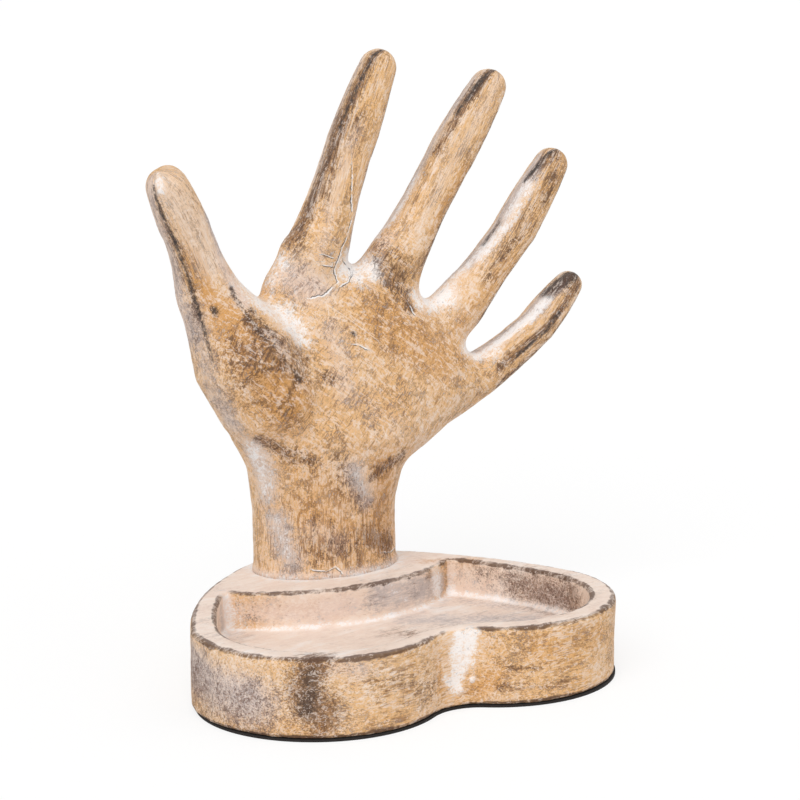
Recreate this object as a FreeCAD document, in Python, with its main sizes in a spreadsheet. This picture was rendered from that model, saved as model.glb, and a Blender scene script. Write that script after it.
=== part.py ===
import FreeCAD, Part
import math
import os

import Sketcher
from FreeCAD import Vector

# A carved wooden left hand that stands on the blunt end of a hollowed, heart-shaped board.
# Millimetres and degrees. X runs to the right across the board, Y from its notch to its blunt end, Z up.
# The origin is on the underside, at the middle of the board's length.

DOC = FreeCAD.newDocument("CarvedHand")
SHEET = DOC.addObject("Spreadsheet::Sheet", "Sizes")

# The board, its recess and the pad under it
BOARD_SIZES = {
    "pad_thick": 1.0,
    "pad_inset": 0.6,
    "board_thick": 31.0,
    "heart_length": 154.0,
    "lobe_radius": 49.0,
    "lobe_spread": 39.3,
    "notch_radius": 18.5,
    "flank_radius": 160.0,
    "tip_radius": 30.0,
    "rim_side": 10.5,
    "rim_front": 10.0,
    "rim_notch": 7.0,
    "rim_back": 6.5,
    "hollow_deep": 16.0,
    "hollow_corner": 3.0,
    "hollow_cove": 1.0,
    "platform_deep": 66.5,
    "platform_radius": 79.0,
    "foot_bevel": 0.8,
    "rim_bevel": 1.2,
    "lip_bevel": 0.8,
}

# The hand without its fingers
HAND_SIZES = {
    "wrist_across": 3.0,
    "wrist_from_end": 29.0,
    "palm_breadth": 134.0,
    "palm_deep": 47.0,
    "palm_rise": 121.0,
    "palm_lean": 20.0,
    "thenar_reach": 80.0,
    "thenar_lean": -30.0,
    "thenar_width": 44.6,
    "heel_reach": 32.0,
    "web_thick": 13.0,
}

# Each finger: lean and turn of its line in the plane of the palm, bends towards the palm, length, and widths
FINGER_SIZES = {
    "thumb": {"lean": -18.4, "turn": -15.4, "lower_bend": 8.0, "upper_bend": 14.0, "length": 59.0,
              "root_width": 26.6, "joint_width": 20.4, "tip_width": 17.4},
    "index": {"lean": 18.0, "turn": 4.3, "lower_bend": 3.0, "upper_bend": 8.0, "length": 84.5,
              "root_width": 26.7, "joint_width": 20.2, "tip_width": 15.8},
    "middle": {"lean": 31.5, "turn": -2.7, "lower_bend": 3.0, "upper_bend": 8.0, "length": 85.0,
               "root_width": 23.6, "joint_width": 20.0, "tip_width": 15.6},
    "ring": {"lean": 46.2, "turn": -21.8, "lower_bend": 3.0, "upper_bend": 8.0, "length": 80.3,
             "root_width": 23.1, "joint_width": 18.8, "tip_width": 14.6},
    "little": {"lean": 64.4, "turn": -31.7, "lower_bend": 3.0, "upper_bend": 8.0, "length": 60.0,
               "root_width": 20.5, "joint_width": 16.6, "tip_width": 12.6},
}

# The ridges that run from the palm up the flanks of the fingers and round off the webs between them
WEB_SIZES = {
    "index_inner": {"lean": 24.0, "length": 22.6},
    "middle_inner": {"lean": 41.0, "length": 22.6},
    "middle_outer": {"lean": 17.0, "length": 20.5},
    "ring_inner": {"lean": 50.4, "length": 17.0},
}

# The flat-headed wood screws that hold the wrist, and the play round them
SCREW_SIZES = {
    "screw_spread": 15.0,
    "screw_shank": 4.5,
    "screw_head": 9.0,
    "screw_head_deep": 3.4,
    "screw_grip": 60.0,
    "screw_point": 6.0,
    "screw_play": 0.1,
}

# The palm's sections from the top of the wrist to the webs, in shares of its rise, breadth, depth and lean
PALM_SHARES = {
    "waist": {"rise": 0.223, "shift": -0.004, "width": 0.47, "deep": 0.957, "lean": 0.0, "fore": 0.0},
    "cuff": {"rise": 0.36, "shift": 0.004, "width": 0.54, "deep": 1.0, "lean": 0.1, "fore": 0.02},
    "heel": {"rise": 0.47, "shift": 0.034, "width": 0.72, "deep": 1.02, "lean": 0.23, "fore": 0.04},
    "breadth": {"rise": 0.645, "shift": 0.084, "width": 0.985, "deep": 0.84, "lean": 0.42, "fore": 0.04},
    "knuckle": {"rise": 0.785, "shift": 0.135, "width": 0.82, "deep": 0.7, "lean": 0.7, "fore": 0.03},
    "crest": {"rise": 0.94, "shift": 0.18, "width": 0.49, "deep": 0.47, "lean": 1.0, "fore": 0.02},
    "edge": {"rise": 1.0, "shift": 0.185, "width": 0.27, "deep": 0.28, "lean": 1.0, "fore": 0.02},
}

# Where each finger's root lies on the palm
ROOT_SHARES = {
    "thumb": {"shift": -0.389, "rise": 0.98, "fore": 0.08},
    "index": {"shift": -0.006, "rise": 1.113, "fore": -0.015},
    "middle": {"shift": 0.286, "rise": 1.078, "fore": -0.025},
    "ring": {"shift": 0.492, "rise": 0.862, "fore": -0.01},
    "little": {"shift": 0.58, "rise": 0.625, "fore": 0.012},
}

# Where each ridge starts on the palm
WEB_SHARES = {
    "index_inner": {"shift": -0.1655, "rise": 0.95},
    "middle_inner": {"shift": 0.131, "rise": 0.975},
    "middle_outer": {"shift": 0.286, "rise": 0.956},
    "ring_inner": {"shift": 0.405, "rise": 0.859},
}

# The joint along a finger's length, the lower half's width just under the joint's swelling, and the narrowing
# of the stems that each form sinks into the one below it
JOINT_SHARE = 0.5
TUCK_SHARE = 0.97
STEM_SHARE = 0.7

# A finger's lean at the middle of its lower and upper half, in shares of its turn
LOWER_TURN_SHARE = 0.25
UPPER_TURN_SHARE = 0.75

# The width of the swelling under the thumb at its ends, and where its belly starts and stops below the root
SWELL_SHARE = 0.95
BELLY_SHARES = (0.36, 0.66)

# How nearly upright a face's normal or an edge must be, and how far off its height a face may lie, to be found
UPRIGHT_SHARE = 0.99
LEVEL_SHARE = 0.001

# The heights of the board's faces, and the places of its curves and of the hollow's
UNDERSIDE = "Sizes.pad_thick"
SEAT = "Sizes.pad_thick + Sizes.board_thick"
LOBE_Y = "(Sizes.lobe_radius - Sizes.heart_length / 2)"
TIP_Y = "(Sizes.heart_length / 2 - Sizes.tip_radius)"
NOTCH_SPAN = "sqrt((Sizes.lobe_radius + Sizes.notch_radius) ^ 2 - Sizes.lobe_spread ^ 2)"
NOTCH_POINT_Y = f"({LOBE_Y} - {NOTCH_SPAN} + Sizes.notch_radius)"
HOLLOW_LOBE_RADIUS = "(Sizes.lobe_radius - (Sizes.rim_side + Sizes.rim_front) / 2)"
HOLLOW_LOBE_X = f"(Sizes.lobe_spread + Sizes.lobe_radius - Sizes.rim_side - {HOLLOW_LOBE_RADIUS})"
HOLLOW_LOBE_Y = f"({LOBE_Y} - Sizes.lobe_radius + Sizes.rim_front + {HOLLOW_LOBE_RADIUS})"
HOLLOW_NOTCH_Y = f"({NOTCH_POINT_Y} + Sizes.rim_notch)"
WRIST_Y = "(Sizes.heart_length / 2 - Sizes.wrist_from_end)"


def fill_sheet():
    """Write every driving dimension into a cell of its own, under its name."""
    groups = [BOARD_SIZES, HAND_SIZES, SCREW_SIZES]
    for owner, sizes in {**FINGER_SIZES, **WEB_SIZES}.items():
        groups.append({f"{owner}_{name}": value for name, value in sizes.items()})
    row = 0
    for group in groups:
        for name, value in group.items():
            row += 1
            SHEET.set(f"A{row}", name)
            SHEET.set(f"B{row}", str(value))
            SHEET.setAlias(f"B{row}", name)
    DOC.recompute()


def size(expression):
    """The present value of an expression in the sheet's names."""
    return float(SHEET.evalExpression(expression))


def new_body(label):
    body = DOC.addObject("PartDesign::Body", label)
    body.Label = label
    return body


def new_sketch(body, name, role, place):
    """A sketch on one of the body's own origin planes, moved and turned by the expressions in place."""
    plane = [feature for feature in body.Origin.OriginFeatures if feature.Role == role][0]
    sketch = body.newObject("Sketcher::SketchObject", name)
    sketch.AttachmentSupport = [(plane, "")]
    sketch.MapMode = "FlatFace"
    for path, expression in place.items():
        sketch.setExpression(f"AttachmentOffset.{path}", expression)
    return sketch


def bind(sketch, kind, *where, to):
    """A dimension in a sketch, tied to an expression."""
    index = sketch.addConstraint(Sketcher.Constraint(kind, *where, size(to)))
    sketch.setExpression(f"Constraints[{index}]", to)


def tie(sketch, kind, *where):
    sketch.addConstraint(Sketcher.Constraint(kind, *where))


def arc(centre, radius, start, end):
    """An arc that runs anticlockwise between two points."""
    begin = math.atan2(start.y - centre.y, start.x - centre.x)
    finish = math.atan2(end.y - centre.y, end.x - centre.x)
    if finish <= begin:
        finish += math.tau
    return Part.ArcOfCircle(Part.Circle(centre, Vector(0, 0, 1), radius), begin, finish)


def add_feature(body, kind, name, profile):
    feature = body.newObject(f"PartDesign::{kind}", name)
    feature.Profile = (profile, [""]) if kind == "AdditiveLoft" else profile
    feature.Refine = False
    return feature


def settle(feature):
    """Recompute, and stop where a feature or its sketch failed."""
    DOC.recompute()
    for thing in [feature] + feature.OutList:
        if any(word in ("Invalid", "Error") for word in thing.State):
            raise RuntimeError(f"{thing.Label}: {thing.State}")


def mirrored(point):
    return Vector(-point.x, point.y, 0)


def meet(first, first_radius, second, second_radius):
    """The crossing of two circles that lies furthest to the left."""
    line = second - first
    along = (first_radius ** 2 - second_radius ** 2 + line.Length ** 2) / (2 * line.Length)
    off = math.sqrt(first_radius ** 2 - along ** 2)
    unit = line / line.Length
    base = first + unit * along
    normal = Vector(-unit.y, unit.x, 0)
    return min(base + normal * off, base - normal * off, key=lambda point: point.x)


def heart_points(lobe, lobe_radius, notch_radius, flank_radius, tip, tip_radius):
    """Centres of the right half's arcs, and the points where they join, worked out from tangency."""
    notch = Vector(0, lobe.y - math.sqrt((lobe_radius + notch_radius) ** 2 - lobe.x ** 2), 0)
    flank = meet(lobe, flank_radius - lobe_radius, tip, flank_radius - tip_radius)
    return {
        "notch": notch,
        "flank": flank,
        "notch_join": notch + (lobe - notch).normalize() * notch_radius,
        "lobe_join": flank + (lobe - flank).normalize() * flank_radius,
        "tip_join": flank + (tip - flank).normalize() * flank_radius,
    }


def heart_sketch(body, name, rise, inset):
    """The board's outline, drawn in by inset: six arcs that run into one another."""
    sketch = new_sketch(body, name, "XY_Plane", {"Base.z": rise})
    radii = {
        "lobe": f"Sizes.lobe_radius - {inset}",
        "notch": f"Sizes.notch_radius + {inset}",
        "flank": f"Sizes.flank_radius - {inset}",
        "tip": f"Sizes.tip_radius - {inset}",
    }
    at = {part: size(radius) for part, radius in radii.items()}
    lobe = Vector(size("Sizes.lobe_spread"), size(LOBE_Y), 0)
    tip = Vector(0, size(TIP_Y), 0)
    points = heart_points(lobe, at["lobe"], at["notch"], at["flank"], tip, at["tip"])
    notch_join, lobe_join, tip_join = points["notch_join"], points["lobe_join"], points["tip_join"]
    sketch.addGeometry([
        arc(points["notch"], at["notch"], notch_join, mirrored(notch_join)),
        arc(lobe, at["lobe"], notch_join, lobe_join),
        arc(points["flank"], at["flank"], lobe_join, tip_join),
        arc(tip, at["tip"], tip_join, mirrored(tip_join)),
        arc(mirrored(points["flank"]), at["flank"], mirrored(tip_join), mirrored(lobe_join)),
        arc(mirrored(lobe), at["lobe"], mirrored(lobe_join), mirrored(notch_join)),
    ], False)
    tie(sketch, "Tangent", 0, 1, 1, 1)
    for first, second in ((1, 2), (2, 3), (3, 4), (4, 5)):
        tie(sketch, "Tangent", first, 2, second, 1)
    tie(sketch, "Tangent", 5, 2, 0, 2)
    for index, part in enumerate(("notch", "lobe", "flank", "tip", "flank", "lobe")):
        bind(sketch, "Radius", index, to=radii[part])
    bind(sketch, "DistanceX", -1, 1, 1, 3, to="Sizes.lobe_spread")
    bind(sketch, "DistanceX", 5, 3, -1, 1, to="Sizes.lobe_spread")
    bind(sketch, "DistanceY", -1, 1, 1, 3, to=LOBE_Y)
    bind(sketch, "DistanceY", -1, 1, 5, 3, to=LOBE_Y)
    tie(sketch, "PointOnObject", 3, 3, -2)
    bind(sketch, "DistanceY", -1, 1, 3, 3, to=TIP_Y)
    return sketch


def hollow_sketch(body):
    """The recess: the heart drawn in by its rims, cut off at the back by the platform's rounded front."""
    sketch = new_sketch(body, "HollowOutline", "XY_Plane", {"Base.z": SEAT})
    radii = {
        "lobe": HOLLOW_LOBE_RADIUS,
        "flank": "Sizes.flank_radius - Sizes.rim_back",
        "tip": "Sizes.tip_radius - Sizes.rim_back",
        "platform": "Sizes.platform_radius",
    }
    platform_y = "Sizes.heart_length / 2 - Sizes.platform_deep + Sizes.platform_radius"
    at = {part: size(radius) for part, radius in radii.items()}
    lobe = Vector(size(HOLLOW_LOBE_X), size(HOLLOW_LOBE_Y), 0)
    tip = Vector(0, size(TIP_Y), 0)
    platform = Vector(0, size(platform_y), 0)
    fall = lobe.y - size(HOLLOW_NOTCH_Y)
    at["notch"] = (lobe.Length ** 2 - lobe.y ** 2 + fall ** 2 - at["lobe"] ** 2) / (2 * (at["lobe"] - fall))
    points = heart_points(lobe, at["lobe"], at["notch"], at["flank"], tip, at["tip"])
    notch_join, lobe_join = points["notch_join"], points["lobe_join"]
    corner = mirrored(meet(mirrored(points["flank"]), at["flank"], platform, at["platform"]))
    sketch.addGeometry([
        arc(points["notch"], at["notch"], notch_join, mirrored(notch_join)),
        arc(lobe, at["lobe"], notch_join, lobe_join),
        arc(points["flank"], at["flank"], lobe_join, corner),
        arc(platform, at["platform"], mirrored(corner), corner),
        arc(mirrored(points["flank"]), at["flank"], mirrored(corner), mirrored(lobe_join)),
        arc(mirrored(lobe), at["lobe"], mirrored(lobe_join), mirrored(notch_join)),
    ], False)
    sketch.addGeometry(Part.Circle(tip, Vector(0, 0, 1), at["tip"]), True)
    tie(sketch, "Tangent", 0, 1, 1, 1)
    tie(sketch, "Tangent", 1, 2, 2, 1)
    tie(sketch, "Coincident", 2, 2, 3, 2)
    tie(sketch, "Coincident", 3, 1, 4, 1)
    tie(sketch, "Tangent", 4, 2, 5, 1)
    tie(sketch, "Tangent", 5, 2, 0, 2)
    tie(sketch, "Tangent", 2, 6)
    tie(sketch, "Tangent", 4, 6)
    for index, part in ((1, "lobe"), (2, "flank"), (3, "platform"), (4, "flank"), (5, "lobe"), (6, "tip")):
        bind(sketch, "Radius", index, to=radii[part])
    notch_point = sketch.addGeometry(Part.Point(Vector(0, size(HOLLOW_NOTCH_Y), 0)), True)
    tie(sketch, "PointOnObject", notch_point, 1, 0)
    tie(sketch, "PointOnObject", notch_point, 1, -2)
    bind(sketch, "DistanceY", notch_point, 1, -1, 1, to=f"-{HOLLOW_NOTCH_Y}")
    bind(sketch, "DistanceX", -1, 1, 1, 3, to=HOLLOW_LOBE_X)
    bind(sketch, "DistanceX", 5, 3, -1, 1, to=HOLLOW_LOBE_X)
    bind(sketch, "DistanceY", -1, 1, 1, 3, to=HOLLOW_LOBE_Y)
    bind(sketch, "DistanceY", -1, 1, 5, 3, to=HOLLOW_LOBE_Y)
    tie(sketch, "PointOnObject", 3, 3, -2)
    bind(sketch, "DistanceY", -1, 1, 3, 3, to=platform_y)
    tie(sketch, "PointOnObject", 6, 3, -2)
    bind(sketch, "DistanceY", -1, 1, 6, 3, to=TIP_Y)
    return sketch


def draw_corners(sketch, corners):
    """A closed outline of straight lines whose first and last corners are on the axis, the first at the origin."""
    points = [Vector(size(across), size(along), 0) for across, along in corners]
    count = len(points)
    for index, point in enumerate(points):
        sketch.addGeometry(Part.LineSegment(point, points[(index + 1) % count]), False)
    for index in range(count):
        tie(sketch, "Coincident", index, 2, (index + 1) % count, 1)
    tie(sketch, "Coincident", 0, 1, -1, 1)
    tie(sketch, "PointOnObject", count - 1, 1, -2)


def edge_names(body, wanted):
    """Names of the body's edges that are among the wanted ones."""
    names = []
    for index, edge in enumerate(body.Shape.Edges):
        if any(edge.isSame(other) for other in wanted):
            names.append(f"Edge{index + 1}")
    return names


def level_face(body, height, upward):
    """The body's largest flat face at a height that looks straight up or down."""
    near = size("Sizes.board_thick") * LEVEL_SHARE
    faces = []
    for face in body.Shape.Faces:
        normal = face.normalAt(0, 0)
        if abs(face.CenterOfMass.z - height) < near and normal.z * upward > UPRIGHT_SHARE:
            faces.append(face)
    return max(faces, key=lambda face: face.Area)


def hollow_corners(body):
    """The upright edges where the hollow's sides meet the platform's front."""
    corners = []
    for edge in body.Shape.Edges:
        start, end = edge.Vertexes[0].Point, edge.Vertexes[-1].Point
        rise = abs(end.z - start.z)
        upright = rise > UPRIGHT_SHARE * (end - start).Length
        deep = math.isclose(rise, size("Sizes.hollow_deep"), rel_tol=LEVEL_SHARE)
        if upright and deep and start.y > 0:
            corners.append(edge)
    return corners


def dress_edges(body, kind, name, edges, measure):
    """Round (Fillet) or bevel (Chamfer) some of a body's edges by a named size."""
    base = body.Tip
    dressed = body.newObject(f"PartDesign::{kind}", name)
    dressed.Base = (base, edge_names(body, edges))
    dressed.setExpression("Radius" if kind == "Fillet" else "Size", measure)
    settle(dressed)


def screw_profile(sketch, play):
    """Half of a wood screw with a flat cylindrical head, head down, with play all round it."""
    head = f"Sizes.screw_head / 2 + {play}"
    shank = f"Sizes.screw_shank / 2 + {play}"
    neck = f"Sizes.screw_head_deep + {play}"
    shoulder = "Sizes.screw_grip - Sizes.screw_point"
    top = f"Sizes.screw_grip + {play}"
    corners = [("0", "0"), (head, "0"), (head, neck), (shank, neck), (shank, shoulder), ("0", top)]
    draw_corners(sketch, corners)
    tie(sketch, "Horizontal", 0)
    tie(sketch, "Vertical", 1)
    tie(sketch, "Horizontal", 2)
    tie(sketch, "Vertical", 3)
    bind(sketch, "Distance", 0, to=head)
    bind(sketch, "Distance", 1, to=neck)
    bind(sketch, "DistanceX", -1, 1, 3, 1, to=shank)
    bind(sketch, "DistanceY", -1, 1, 4, 1, to=shoulder)
    bind(sketch, "DistanceY", -1, 1, 5, 1, to=top)


def screw_turn(body, name, side, play, cut):
    """A screw, or the hole for one, at the wrist's left or right."""
    place = {
        "Base.x": f"Sizes.wrist_across + {side} * Sizes.screw_spread",
        "Base.y": UNDERSIDE,
        "Base.z": f"-{WRIST_Y}",
    }
    sketch = new_sketch(body, f"{name}Outline", "XZ_Plane", place)
    screw_profile(sketch, play)
    turned = add_feature(body, "Groove" if cut else "Revolution", name, sketch)
    turned.ReferenceAxis = (sketch, ["V_Axis"])
    turned.Angle = 360
    settle(turned)


def make_tray():
    """The heart-shaped board with its hollow, its rounded edges and the two screw holes."""
    body = new_body("heart_tray")
    board = add_feature(body, "Pad", "Board", heart_sketch(body, "BoardOutline", UNDERSIDE, "0"))
    board.setExpression("Length", "Sizes.board_thick")
    settle(board)
    hollow = add_feature(body, "Pocket", "Hollow", hollow_sketch(body))
    hollow.setExpression("Length", "Sizes.hollow_deep")
    settle(hollow)
    dress_edges(body, "Fillet", "HollowCorners", hollow_corners(body), "Sizes.hollow_corner")
    floor = level_face(body, size(f"{SEAT} - Sizes.hollow_deep"), 1)
    dress_edges(body, "Chamfer", "HollowCove", floor.OuterWire.Edges, "Sizes.hollow_cove")
    top = level_face(body, size(SEAT), 1)
    lip = [wire for wire in top.Wires if not wire.isSame(top.OuterWire)][0]
    dress_edges(body, "Chamfer", "LipBevel", lip.Edges, "Sizes.lip_bevel")
    top = level_face(body, size(SEAT), 1)
    dress_edges(body, "Chamfer", "RimBevel", top.OuterWire.Edges, "Sizes.rim_bevel")
    underside = level_face(body, size(UNDERSIDE), -1)
    dress_edges(body, "Chamfer", "FootBevel", underside.OuterWire.Edges, "Sizes.foot_bevel")
    screw_turn(body, "LeftScrewHole", -1, "Sizes.screw_play", True)
    screw_turn(body, "RightScrewHole", 1, "Sizes.screw_play", True)
    return body


def make_pad():
    """The thin pad under the board, a little smaller than its rounded foot."""
    body = new_body("base_pad")
    sheet = add_feature(body, "Pad", "PadSheet", heart_sketch(body, "PadOutline", "0", "Sizes.pad_inset"))
    sheet.setExpression("Length", "Sizes.pad_thick")
    settle(sheet)
    return body


def make_screw(label, side):
    body = new_body(label)
    screw_turn(body, f"{label}_turned", side, "0", False)
    return body


def palm_station(body, name, shares, rise):
    """One oval section of the wrist or palm, tilted as the palm leans."""
    place = {
        "Base.x": f"Sizes.wrist_across + Sizes.palm_breadth * {shares['shift']}",
        "Base.y": f"{WRIST_Y} - Sizes.palm_deep * {shares['fore']}",
        "Base.z": rise,
        "Rotation.Pitch": f"Sizes.palm_lean * {shares['lean']}",
    }
    sketch = new_sketch(body, f"Palm_{name}", "XY_Plane", place)
    width = f"Sizes.palm_breadth * {shares['width']}"
    deep = f"Sizes.palm_deep * {shares['deep']}"
    oval = Part.Ellipse(Vector(size(width) / 2, 0, 0), Vector(0, size(deep) / 2, 0), Vector())
    sketch.addGeometry(oval, False)
    sketch.exposeInternalGeometry(0)
    tie(sketch, "Coincident", 0, 3, -1, 1)
    tie(sketch, "Horizontal", 1)
    bind(sketch, "Distance", 1, to=width)
    bind(sketch, "Distance", 2, to=deep)
    return sketch


def make_palm(body):
    """The straight wrist, and on it the heel and palm as one loft through the sections."""
    waist = PALM_SHARES["waist"]
    wrist = add_feature(body, "Pad", "Wrist", palm_station(body, "foot", waist, SEAT))
    wrist.setExpression("Length", f"Sizes.palm_rise * {waist['rise']}")
    settle(wrist)
    stations = []
    for name, shares in PALM_SHARES.items():
        stations.append(palm_station(body, name, shares, f"{SEAT} + Sizes.palm_rise * {shares['rise']}"))
    palm = add_feature(body, "AdditiveLoft", "Palm", stations[0])
    palm.Sections = [(station, [""]) for station in stations[1:]]
    palm.Ruled = True
    settle(palm)


def root_place(finger):
    """Where a finger's root lies: across, back and up."""
    shares = ROOT_SHARES[finger]
    across = f"(Sizes.wrist_across + Sizes.palm_breadth * {shares['shift']})"
    back = f"({WRIST_Y} - Sizes.palm_deep * {shares['fore']})"
    rise = f"({SEAT} + Sizes.palm_rise * {shares['rise']})"
    return across, back, rise


def turn_profile(body, name, sketch):
    turned = add_feature(body, "Revolution", name, sketch)
    turned.ReferenceAxis = (sketch, ["V_Axis"])
    turned.Angle = 360
    settle(turned)


def finger_lean(finger, share):
    return f"(Sizes.{finger}_lean + Sizes.{finger}_turn * {share})"


def finger_lower(body, finger):
    """A finger's lower half: stem in the palm, root that narrows in one curve to the joint, round end there."""
    across, back, rise = root_place(finger)
    place = {
        "Base.x": back,
        "Base.y": rise,
        "Base.z": across,
        "Rotation.Yaw": f"Sizes.{finger}_lower_bend",
        "Rotation.Roll": finger_lean(finger, LOWER_TURN_SHARE),
    }
    sketch = new_sketch(body, f"{finger}_lower_outline", "YZ_Plane", place)
    stem = f"Sizes.{finger}_root_width / 2 * {STEM_SHARE}"
    root = f"Sizes.{finger}_root_width / 2"
    joint = f"Sizes.{finger}_joint_width / 2 * {TUCK_SHARE}"
    joint_at = f"Sizes.{finger}_length * {JOINT_SHARE}"
    r_root, r_joint, h_joint = size(root), size(joint), size(joint_at)
    flare_radius = (h_joint ** 2 + (r_root - r_joint) ** 2) / (2 * (r_root - r_joint))
    flare_centre = Vector(r_joint + flare_radius, h_joint, 0)
    foot = Vector(0, -size("Sizes.heel_reach"), 0)
    stem_low = Vector(size(stem), foot.y, 0)
    root_point = Vector(r_root, 0, 0)
    joint_point = Vector(r_joint, h_joint, 0)
    top = Vector(0, h_joint + r_joint, 0)
    sketch.addGeometry([
        Part.LineSegment(foot, stem_low),
        Part.LineSegment(stem_low, root_point),
        arc(flare_centre, flare_radius, joint_point, root_point),
        arc(Vector(0, h_joint, 0), r_joint, joint_point, top),
        Part.LineSegment(top, foot),
    ], False)
    tie(sketch, "Coincident", 0, 2, 1, 1)
    tie(sketch, "Coincident", 1, 2, 2, 2)
    tie(sketch, "Coincident", 2, 1, 3, 1)
    tie(sketch, "Coincident", 3, 2, 4, 1)
    tie(sketch, "Coincident", 4, 2, 0, 1)
    tie(sketch, "Horizontal", 0)
    tie(sketch, "Horizontal", 2, 3, 2, 1)
    tie(sketch, "Horizontal", 3, 3, 3, 1)
    tie(sketch, "PointOnObject", 0, 1, -2)
    tie(sketch, "PointOnObject", 3, 2, -2)
    tie(sketch, "PointOnObject", 3, 3, -2)
    tie(sketch, "PointOnObject", 2, 2, -1)
    bind(sketch, "Distance", 0, to=stem)
    bind(sketch, "DistanceY", 0, 1, -1, 1, to="Sizes.heel_reach")
    bind(sketch, "DistanceX", -1, 1, 2, 2, to=root)
    bind(sketch, "DistanceX", -1, 1, 2, 1, to=joint)
    bind(sketch, "DistanceY", -1, 1, 2, 1, to=joint_at)
    turn_profile(body, f"{finger}_lower", sketch)


def finger_upper(body, finger):
    """A finger's upper half: from the joint it narrows in one long curve to its round tip."""
    across, back, rise = root_place(finger)
    bend = f"Sizes.{finger}_lower_bend"
    lower_lean = finger_lean(finger, LOWER_TURN_SHARE)
    joint_at = f"Sizes.{finger}_length * {JOINT_SHARE}"
    place = {
        "Base.x": f"{back} - {joint_at} * cos({lower_lean}) * sin({bend})",
        "Base.y": f"{rise} + {joint_at} * cos({lower_lean}) * cos({bend})",
        "Base.z": f"{across} + {joint_at} * sin({lower_lean})",
        "Rotation.Yaw": f"Sizes.{finger}_upper_bend",
        "Rotation.Roll": finger_lean(finger, UPPER_TURN_SHARE),
    }
    sketch = new_sketch(body, f"{finger}_upper_outline", "YZ_Plane", place)
    joint = f"Sizes.{finger}_joint_width / 2"
    stem = f"{joint} * {STEM_SHARE}"
    sunk = f"{joint} / 2"
    tip = f"Sizes.{finger}_tip_width / 2"
    length = f"Sizes.{finger}_length * (1 - {JOINT_SHARE})"
    r_joint, r_tip, top_at = size(joint), size(tip), size(length)
    tip_centre = Vector(0, top_at - r_tip, 0)
    taper_radius = (r_joint ** 2 - r_tip ** 2 + tip_centre.y ** 2) / (2 * (r_joint - r_tip))
    taper_centre = Vector(r_joint - taper_radius, 0, 0)
    shoulder = taper_centre + (tip_centre - taper_centre).normalize() * taper_radius
    joint_point = Vector(r_joint, 0, 0)
    foot = Vector(0, -size(sunk), 0)
    stem_low = Vector(size(stem), foot.y, 0)
    top = Vector(0, top_at, 0)
    sketch.addGeometry([
        Part.LineSegment(foot, stem_low),
        Part.LineSegment(stem_low, joint_point),
        arc(taper_centre, taper_radius, joint_point, shoulder),
        arc(tip_centre, r_tip, shoulder, top),
        Part.LineSegment(top, foot),
    ], False)
    tie(sketch, "Coincident", 0, 2, 1, 1)
    tie(sketch, "Coincident", 1, 2, 2, 1)
    tie(sketch, "Tangent", 2, 2, 3, 1)
    tie(sketch, "Coincident", 3, 2, 4, 1)
    tie(sketch, "Coincident", 4, 2, 0, 1)
    tie(sketch, "PointOnObject", 0, 1, -2)
    tie(sketch, "Horizontal", 0)
    tie(sketch, "PointOnObject", 2, 1, -1)
    tie(sketch, "PointOnObject", 2, 3, -1)
    tie(sketch, "PointOnObject", 3, 3, -2)
    tie(sketch, "PointOnObject", 3, 2, -2)
    bind(sketch, "Distance", 0, to=stem)
    bind(sketch, "DistanceY", 0, 1, -1, 1, to=sunk)
    bind(sketch, "DistanceX", -1, 1, 2, 1, to=joint)
    bind(sketch, "Radius", 3, to=tip)
    bind(sketch, "DistanceY", -1, 1, 3, 2, to=length)
    turn_profile(body, f"{finger}_upper", sketch)


def make_thenar(body):
    """The swelling at the base of the thumb, a spindle from the heel to the thumb's root."""
    across, back, rise = root_place("thumb")
    place = {
        "Base.x": across,
        "Base.y": rise,
        "Base.z": f"-{back}",
        "Rotation.Yaw": "-Sizes.thenar_lean",
    }
    sketch = new_sketch(body, "thenar_outline", "XZ_Plane", place)
    root = f"Sizes.thumb_root_width / 2 * {SWELL_SHARE}"
    belly = "Sizes.thenar_width / 2"
    reach = "Sizes.thenar_reach"
    belly_high = f"{reach} * {BELLY_SHARES[0]}"
    belly_low = f"{reach} * {BELLY_SHARES[1]}"
    corners = [("0", "0"), (root, "0"), (belly, f"-{belly_high}"), (belly, f"-{belly_low}"), (root, f"-{reach}"),
               ("0", f"-{reach}")]
    draw_corners(sketch, corners)
    tie(sketch, "Horizontal", 0)
    tie(sketch, "Vertical", 2)
    tie(sketch, "Horizontal", 4)
    bind(sketch, "Distance", 0, to=root)
    bind(sketch, "Distance", 4, to=root)
    bind(sketch, "DistanceX", -1, 1, 2, 1, to=belly)
    bind(sketch, "DistanceY", 2, 1, -1, 1, to=belly_high)
    bind(sketch, "DistanceY", 3, 1, -1, 1, to=belly_low)
    bind(sketch, "DistanceY", 5, 1, -1, 1, to=reach)
    turn_profile(body, "Thenar", sketch)


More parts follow.
